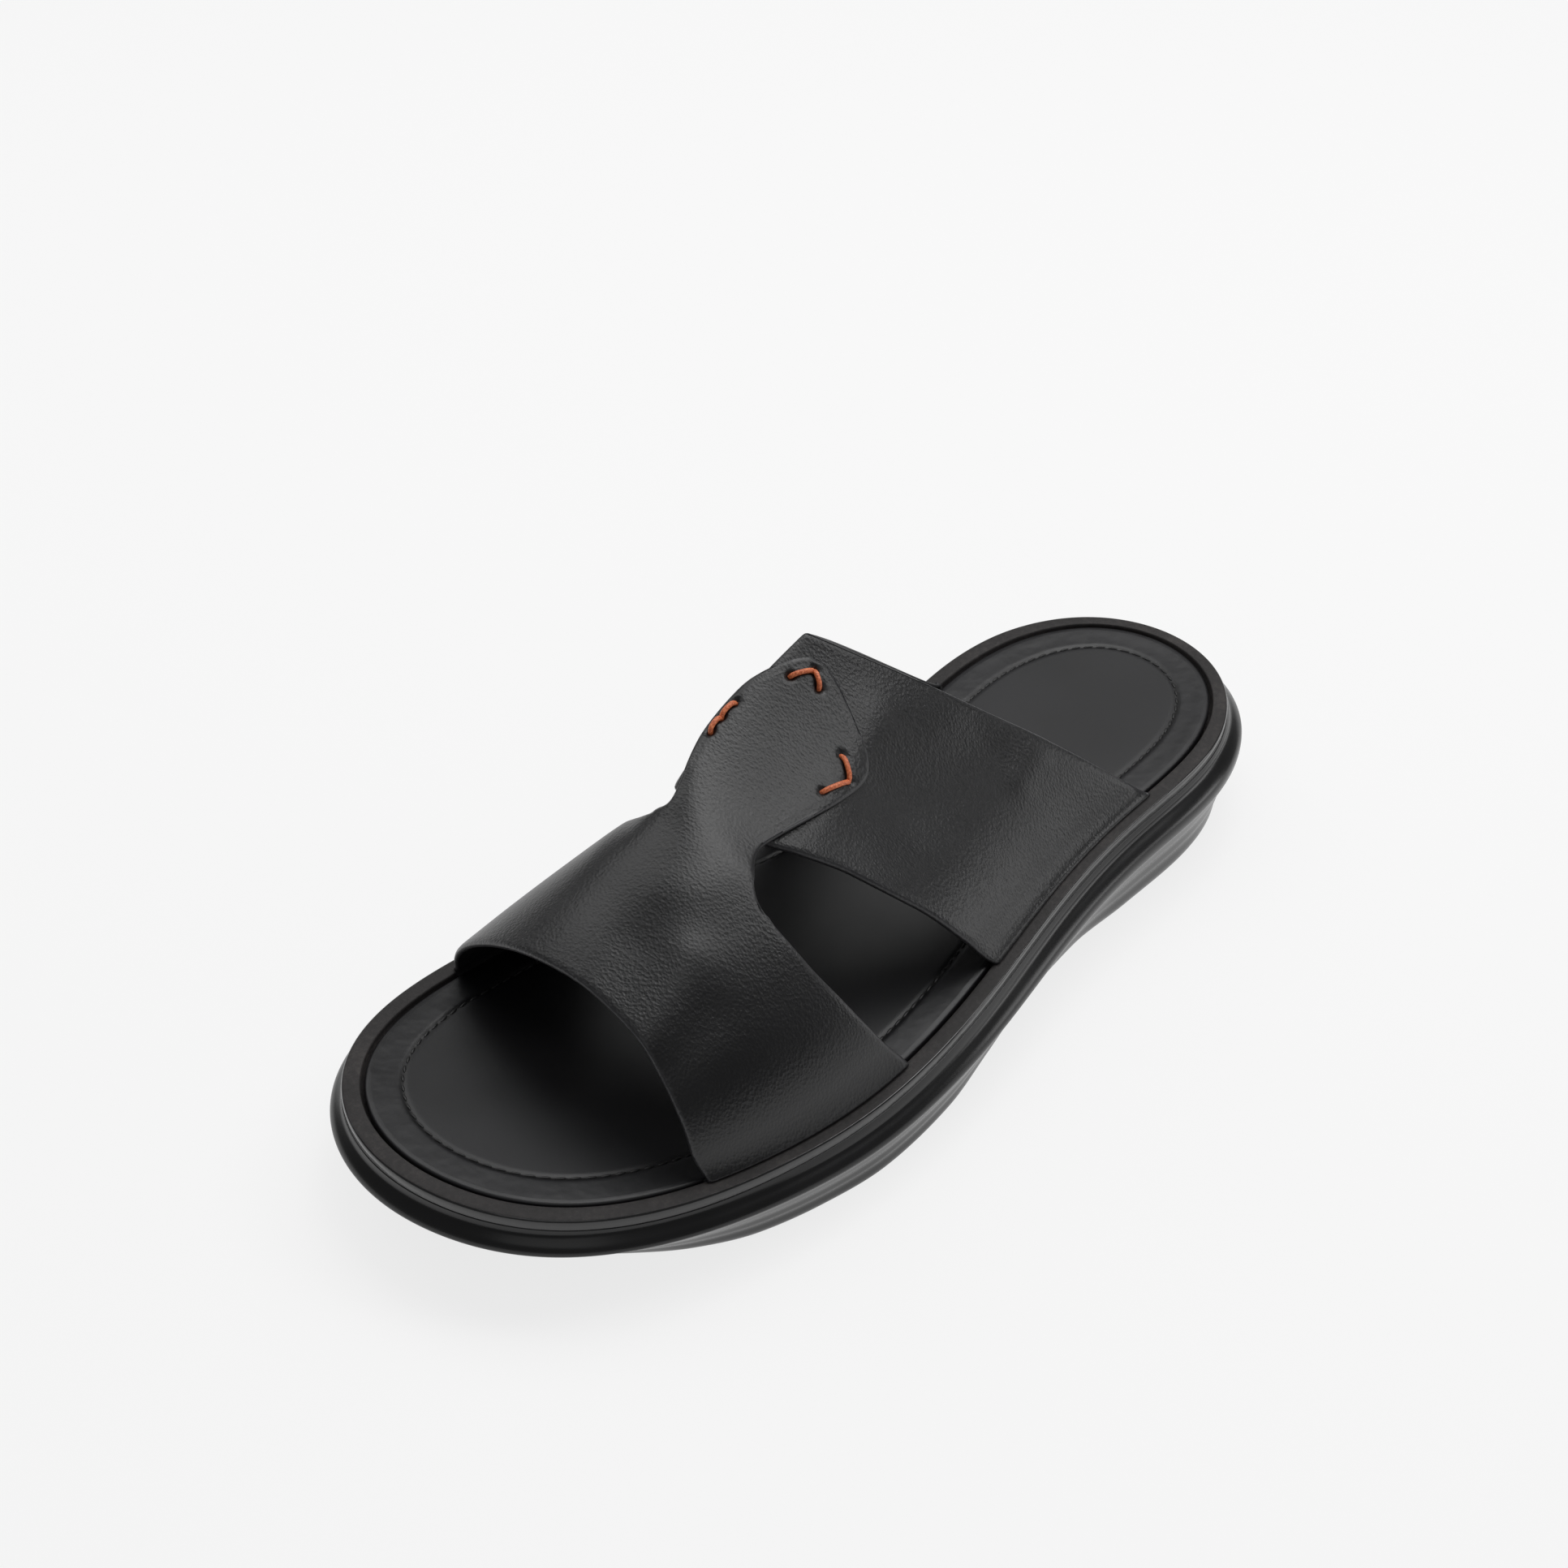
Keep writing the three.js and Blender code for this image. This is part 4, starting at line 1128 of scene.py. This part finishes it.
def bed_depth(points):
    """How deep the bed sinks into the insole's top at each point."""
    y = (points[:, 1] - y_at(BED["along"])) / BED["length"]
    x = (points[:, 0] - BED["across"] * BALL_WIDTH) / BED["width"]
    return BED["depth"] * np.exp(-(x ** 2 + y ** 2))


def below_top(down):
    """A function that puts points at a depth below the insole's top."""
    def shape(points, shares):
        depth = down(points) if callable(down) else down
        return np.column_stack([points[:, :2], deck_top(points[:, 1]) - depth])
    return shape


# The turns of the insole's rounded edge, in radians
EDGE_TURNS = (0.4, 0.8, 1.2, math.pi / 2)
# Rings of points inwards of the insole's edge in millimetres: first wide apart, then close over the
# seam's trough, then two past it
RINGS_BEFORE = {"first": 1.6, "step": 1.2}
RINGS_OVER = {"before": 2, "after": 2.4, "step": 0.4}
RINGS_PAST = (3.5, 5)
# The bed and the seam's puckers start this far inside the edge, and the puckers fade from a little
# before the seam to a little past it
BED_FROM_EDGE = 6
PUCKER = {"begin": 2, "before": 1, "past": 1.5}
# How wide the painted shade along the seam's trough is
SEAM_SHADE_WIDTH = 0.7


def insole():
    ring = Ring(RING_ROWS)
    shell = Shell()
    r = INSOLE_EDGE_ROUND
    profile = [(-2 * r, INSOLE_THICK), (0, INSOLE_THICK), (0, r)]
    profile += [(-r + r * math.cos(turn), r - r * math.sin(turn)) for turn in EDGE_TURNS]
    before = SEAM_INSET - RINGS_OVER["before"]
    insets = np.concatenate([np.arange(RINGS_BEFORE["first"], before, RINGS_BEFORE["step"]),
                             np.arange(before, SEAM_INSET + RINGS_OVER["after"], RINGS_OVER["step"]),
                             [SEAM_INSET + past for past in RINGS_PAST]])
    trough = SEAM_TROUGH["depth"] * np.exp(-(((insets - SEAM_INSET) / SEAM_TROUGH["width"]) ** 2))
    profile += [(-inset, down) for inset, down in zip(insets, trough)]
    rings = [ring.edge(out, down) for out, down in profile]
    for points in rings[3:]:
        inward = -((points[:, :2] - ring.points) * ring.out).sum(axis=1)
        points[:, 2] += deck_top(points[:, 1]) - deck_top(ring.points[:, 1])
        points[:, 2] -= bed_depth(points) * smoothstep(0, BED_FROM_EDGE, inward)
    numbers = [shell.add_points(points) for points in rings]
    shell.join_rings(numbers)
    shell.fill_across(numbers[-1], TOP_SHARES, below_top(bed_depth), up=True)
    shell.fill_across(numbers[0], UNDER_SHARES, below_top(INSOLE_THICK), up=False)
    inset = np.concatenate([np.full(2 * ring.rows, -out) for out, down in profile])
    rest = np.zeros(shell.count - len(inset))
    outside_seam = smoothstep(SEAM_INSET + PUCKER["past"], SEAM_INSET - PUCKER["before"], inset)
    seam = outside_seam * smoothstep(0, PUCKER["begin"], inset)
    # Painted shade: how strongly the leather is darkened along the seam's trough
    pressed = np.exp(-(((inset - SEAM_INSET) / SEAM_SHADE_WIDTH) ** 2))
    masks = {"seam": np.concatenate([seam, rest]), "pressed": np.concatenate([pressed, rest])}
    shell.make("insole_leather", "insole", "insole_leather", (SOCK,), masks)


# The midsole: its well under the insole, groove wall, buffed rim, painted side and plug. Each row of
# the section is out as a share of the rim's width and in millimetres more, down from the insole's
# top in millimetres, and the finish: buffed or painted.

BUFFED, PAINTED = 0, 1
WELL = INSOLE_THICK + CLEARANCE
RIM_SECTION = (
    (0, -PLUG_INSET, WELL, BUFFED),
    (0, GROOVE_WIDTH, WELL, BUFFED),
    (0, GROOVE_WIDTH, 0.4, BUFFED),
    (0, GROOVE_WIDTH + 0.06, 0.12 - RIM_STAND, BUFFED),
    (0, GROOVE_WIDTH + 0.3, -RIM_STAND, BUFFED),
    (0.4, 0, -0.04 - RIM_STAND, BUFFED),
    (0.7, 0, -0.03 - RIM_STAND, BUFFED),
    (1, -0.9, 0.02 - RIM_STAND, BUFFED),
    (1, -0.42, 0.1 - RIM_STAND, BUFFED),
    (1, -0.14, 0.34 - RIM_STAND, PAINTED),
    (1, 0, 0.8 - RIM_STAND, PAINTED),
    (1, 0.02, 1.4, PAINTED),
    (1, 0, 2.4, PAINTED),
    (1, 0, RIM_WALL, PAINTED),
    (0, -PLUG_INSET, RIM_WALL, PAINTED),
    (0, -PLUG_INSET, PLUG_DEPTH, PAINTED),
)


def midsole():
    ring = Ring(RING_ROWS)
    shell = Shell()
    numbers = [shell.add_points(ring.edge(ring.rim * share + more, down))
               for share, more, down, _ in RIM_SECTION]
    for upper, lower, (_, _, _, finish) in zip(numbers[:-1], numbers[1:], RIM_SECTION[1:]):
        shell.join_rings([lower, upper], finish)
    shell.fill_across(numbers[0], WELL_SHARES, below_top(WELL), BUFFED, up=True)
    shell.fill_across(numbers[-1], WELL_SHARES, below_top(PLUG_DEPTH), PAINTED, up=False)
    shell.make("midsole_rim", "midsole", "rim", (RIM_TOP, RIM_SIDE))


# The outsole

def cut_corners(sections, times):
    """Rounds a run of control points, keeping both ends."""
    for _ in range(times):
        a, b = sections[:, :-1], sections[:, 1:]
        cut = np.stack([0.75 * a + 0.25 * b, 0.25 * a + 0.75 * b], axis=2)
        cut = cut.reshape(len(sections), -1, 2)
        sections = np.concatenate([sections[:, :1], cut, sections[:, -1:]], axis=1)
    return sections


# The outsole's lip stands a little outside the rim and above its lower edge, and hides the joint
LIP = {"out": 0.1, "up": 0.6}


def sole_sections(ring):
    """Out and down from the lip to the floor, at every point of the ring."""
    top = deck_top(ring.points[:, 1])
    to_ball = smoothstep(SIDE_PLACES["heel"], SIDE_PLACES["ball"], ring.along)
    to_toe = smoothstep(SIDE_PLACES["ball"], SIDE_PLACES["toe"], ring.along)
    rows = [np.stack([ring.rim + LIP["out"], np.full(len(top), RIM_WALL - LIP["up"])], axis=1)]
    for row in SIDE:
        mix = []
        for k in range(2):
            first = row["heel"][k] + (row["ball"][k] - row["heel"][k]) * to_ball
            mix.append(first + (row["toe"][k] - first) * to_toe)
        rows.append(np.stack([mix[0] * SOLE_FLARE, mix[1] * top], axis=1))
    foot_out = GROUND["out"](ring.along) * SOLE_FLARE
    foot_down = top - GROUND["lift"](ring.along) * HEEL_HEIGHT
    under_out, under_down = rows[-1].T
    for share, out in WALL_RIBS:
        rows.append(np.stack([under_out + (foot_out - under_out) * share + out * SOLE_FLARE,
                              under_down + (foot_down - under_down) * share], axis=1))
    rows.append(np.stack([foot_out, foot_down], axis=1))
    return cut_corners(np.stack(rows, axis=1), 2)


SOLE_ROWS = 230
# Across the tread: its points as shares of the way, close together where the grooves end
TREAD_SHARES = np.concatenate([
    [0.04, 0.08, 0.11, 0.12], np.linspace(0.16, 0.84, 12), [0.88, 0.89, 0.92, 0.96]])
TREAD_ENDS = (0.115, 0.885)
# Along a groove's section: half widths of its mouth and floor as shares of its width
TREAD_MOUTH = 0.5
TREAD_FLOOR = 0.42


def tread(points, shares):
    """The sole's underside, with a groove at each tread place."""
    gap = np.abs(points[:, 1:2] - y_at(TREAD_PLACES)).min(axis=1)
    within = gap < (TREAD_MOUTH + TREAD_FLOOR) / 2 * TREAD_WIDTH
    groove = within & (shares > TREAD_ENDS[0]) & (shares < TREAD_ENDS[1])
    heights = np.interp(shares, (0, 1), (points[0, 2], points[-1, 2])) + groove * TREAD_DEPTH
    return np.column_stack([points[:, :2], heights])


def outsole():
    edges = (-TREAD_MOUTH, -TREAD_FLOOR, TREAD_FLOOR, TREAD_MOUTH)
    ring = Ring(SOLE_ROWS, [float(y_at(place)) + edge * TREAD_WIDTH
                            for place in TREAD_PLACES for edge in edges])
    shell = Shell()
    inner = -PLUG_INSET + CLEARANCE
    rings = [ring.edge(inner, PLUG_DEPTH + CLEARANCE), ring.edge(inner, RIM_WALL + CLEARANCE)]
    sections = sole_sections(ring)
    rings += [ring.edge(sections[:, k, 0], sections[:, k, 1]) for k in range(sections.shape[1])]
    numbers = [shell.add_points(points) for points in rings]
    shell.join_rings(numbers[::-1])
    shell.fill_across(numbers[0], WELL_SHARES, below_top(PLUG_DEPTH + CLEARANCE), up=True)
    shell.fill_across(numbers[-1], TREAD_SHARES, tread, up=False)
    shell.make("outsole_rubber", "outsole", "outsole_rubber", (RUBBER,))


front_strap()
rear_strap()
tab_stitches()
insole()
insole_seam()
midsole()
outsole()


# Floor, light and camera

# The floor is a pale acrylic table lit from below, so shadows on it are faint
FLOOR_SIZE = 8
TABLE_GLOW = 0.79
WORLD_LIGHT = 0.16


def studio():
    bpy.ops.mesh.primitive_plane_add(size=FLOOR_SIZE, location=(0, 0, 0))
    floor = bpy.context.object
    floor.name = "floor"
    white = linear("#ffffff")
    material, *_ = new_material("acrylic, pale, lit from below", Roughness=0.9, Base_Color=linear("#6c6c6c"),
                                Specular_IOR_Level=0, Emission_Color=white, Emission_Strength=TABLE_GLOW)
    floor.data.materials.append(material)
    world = bpy.context.scene.world or bpy.data.worlds.new("studio")
    bpy.context.scene.world = world
    world.use_nodes = True
    background = world.node_tree.nodes["Background"].inputs
    background["Color"].default_value = white
    background["Strength"].default_value = WORLD_LIGHT
    bpy.context.scene.view_settings.view_transform = "Standard"


# Each softbox: where it stands round the sandal, how high, how far, how large and how bright
SOFTBOXES = (
    {"name": "top", "azimuth": 180, "elevation": 74, "distance": 1.3, "size": 0.7, "power": 3.9},
    {"name": "back", "azimuth": 142, "elevation": 50, "distance": 1.3, "size": 0.4, "power": 2.6},
    {"name": "back_low", "azimuth": 142, "elevation": 10, "distance": 1.3, "size": 0.4, "power": 1.4},
    {"name": "far_heel", "azimuth": -170, "elevation": 50, "distance": 1.3, "size": 0.8, "power": 2.4},
    {"name": "inner_high", "azimuth": -135, "elevation": 64, "distance": 1.3, "size": 0.7, "power": 3.0},
    {"name": "inner", "azimuth": -90, "elevation": 45, "distance": 1.3, "size": 0.8, "power": 3.2},
    {"name": "front", "azimuth": 40, "elevation": 58, "distance": 1.3, "size": 0.8, "power": 1.0},
)


def softbox(name, azimuth, elevation, distance, size, power):
    light = bpy.data.lights.new(name, "AREA")
    light.shape = "SQUARE"
    light.size = size
    light.energy = power
    lamp = bpy.data.objects.new(name, light)
    a, e = math.radians(azimuth), math.radians(elevation)
    way = Vector((math.sin(a) * math.cos(e), -math.cos(a) * math.cos(e), math.sin(e)))
    lamp.location = way * distance
    lamp.rotation_euler = way.to_track_quat("Z", "Y").to_euler()
    bpy.context.scene.collection.objects.link(lamp)


# The camera looks at the sandal from the toe and the outer side, and is rolled a little. Its
# place is given along its own axes from the insole's middle, in millimetres.
CAMERA = {"azimuth": 43.26, "elevation": 41.965, "roll": 0.282,
          "right": -11.79, "up": 6.592, "back": 685.506}
SENSOR_WIDTH = 36
PHOTO_SIZE = 1932
FOCAL_PIXELS = 3316.38
PRINCIPAL_PIXEL = (968.5, 1158.5)
INSOLE_MIDDLE_Y = -0.25


def camera():
    a, e, r = (math.radians(CAMERA[name]) for name in ("azimuth", "elevation", "roll"))
    back = Vector((math.sin(a) * math.cos(e), -math.cos(a) * math.cos(e), math.sin(e)))
    level = Vector((math.cos(a), math.sin(a), 0))
    upright = back.cross(level)
    right = level * math.cos(r) + upright * math.sin(r)
    up = upright * math.cos(r) - level * math.sin(r)
    place = right * CAMERA["right"] + up * CAMERA["up"] + back * CAMERA["back"]
    place += Vector(SHIFT) + Vector((0, INSOLE_MIDDLE_Y, 0))
    lens = bpy.data.cameras.new("camera")
    lens.sensor_width = SENSOR_WIDTH
    lens.lens = FOCAL_PIXELS / PHOTO_SIZE * lens.sensor_width
    lens.shift_x = 0.5 - PRINCIPAL_PIXEL[0] / PHOTO_SIZE
    lens.shift_y = PRINCIPAL_PIXEL[1] / PHOTO_SIZE - 0.5
    lens.clip_start = 0.01
    body = bpy.data.objects.new("camera", lens)
    body.matrix_world = Matrix.Translation(place * MM) @ Matrix((right, up, back)).transposed().to_4x4()
    bpy.context.scene.collection.objects.link(body)
    bpy.context.scene.camera = body


studio()
for box in SOFTBOXES:
    softbox(**box)
camera()
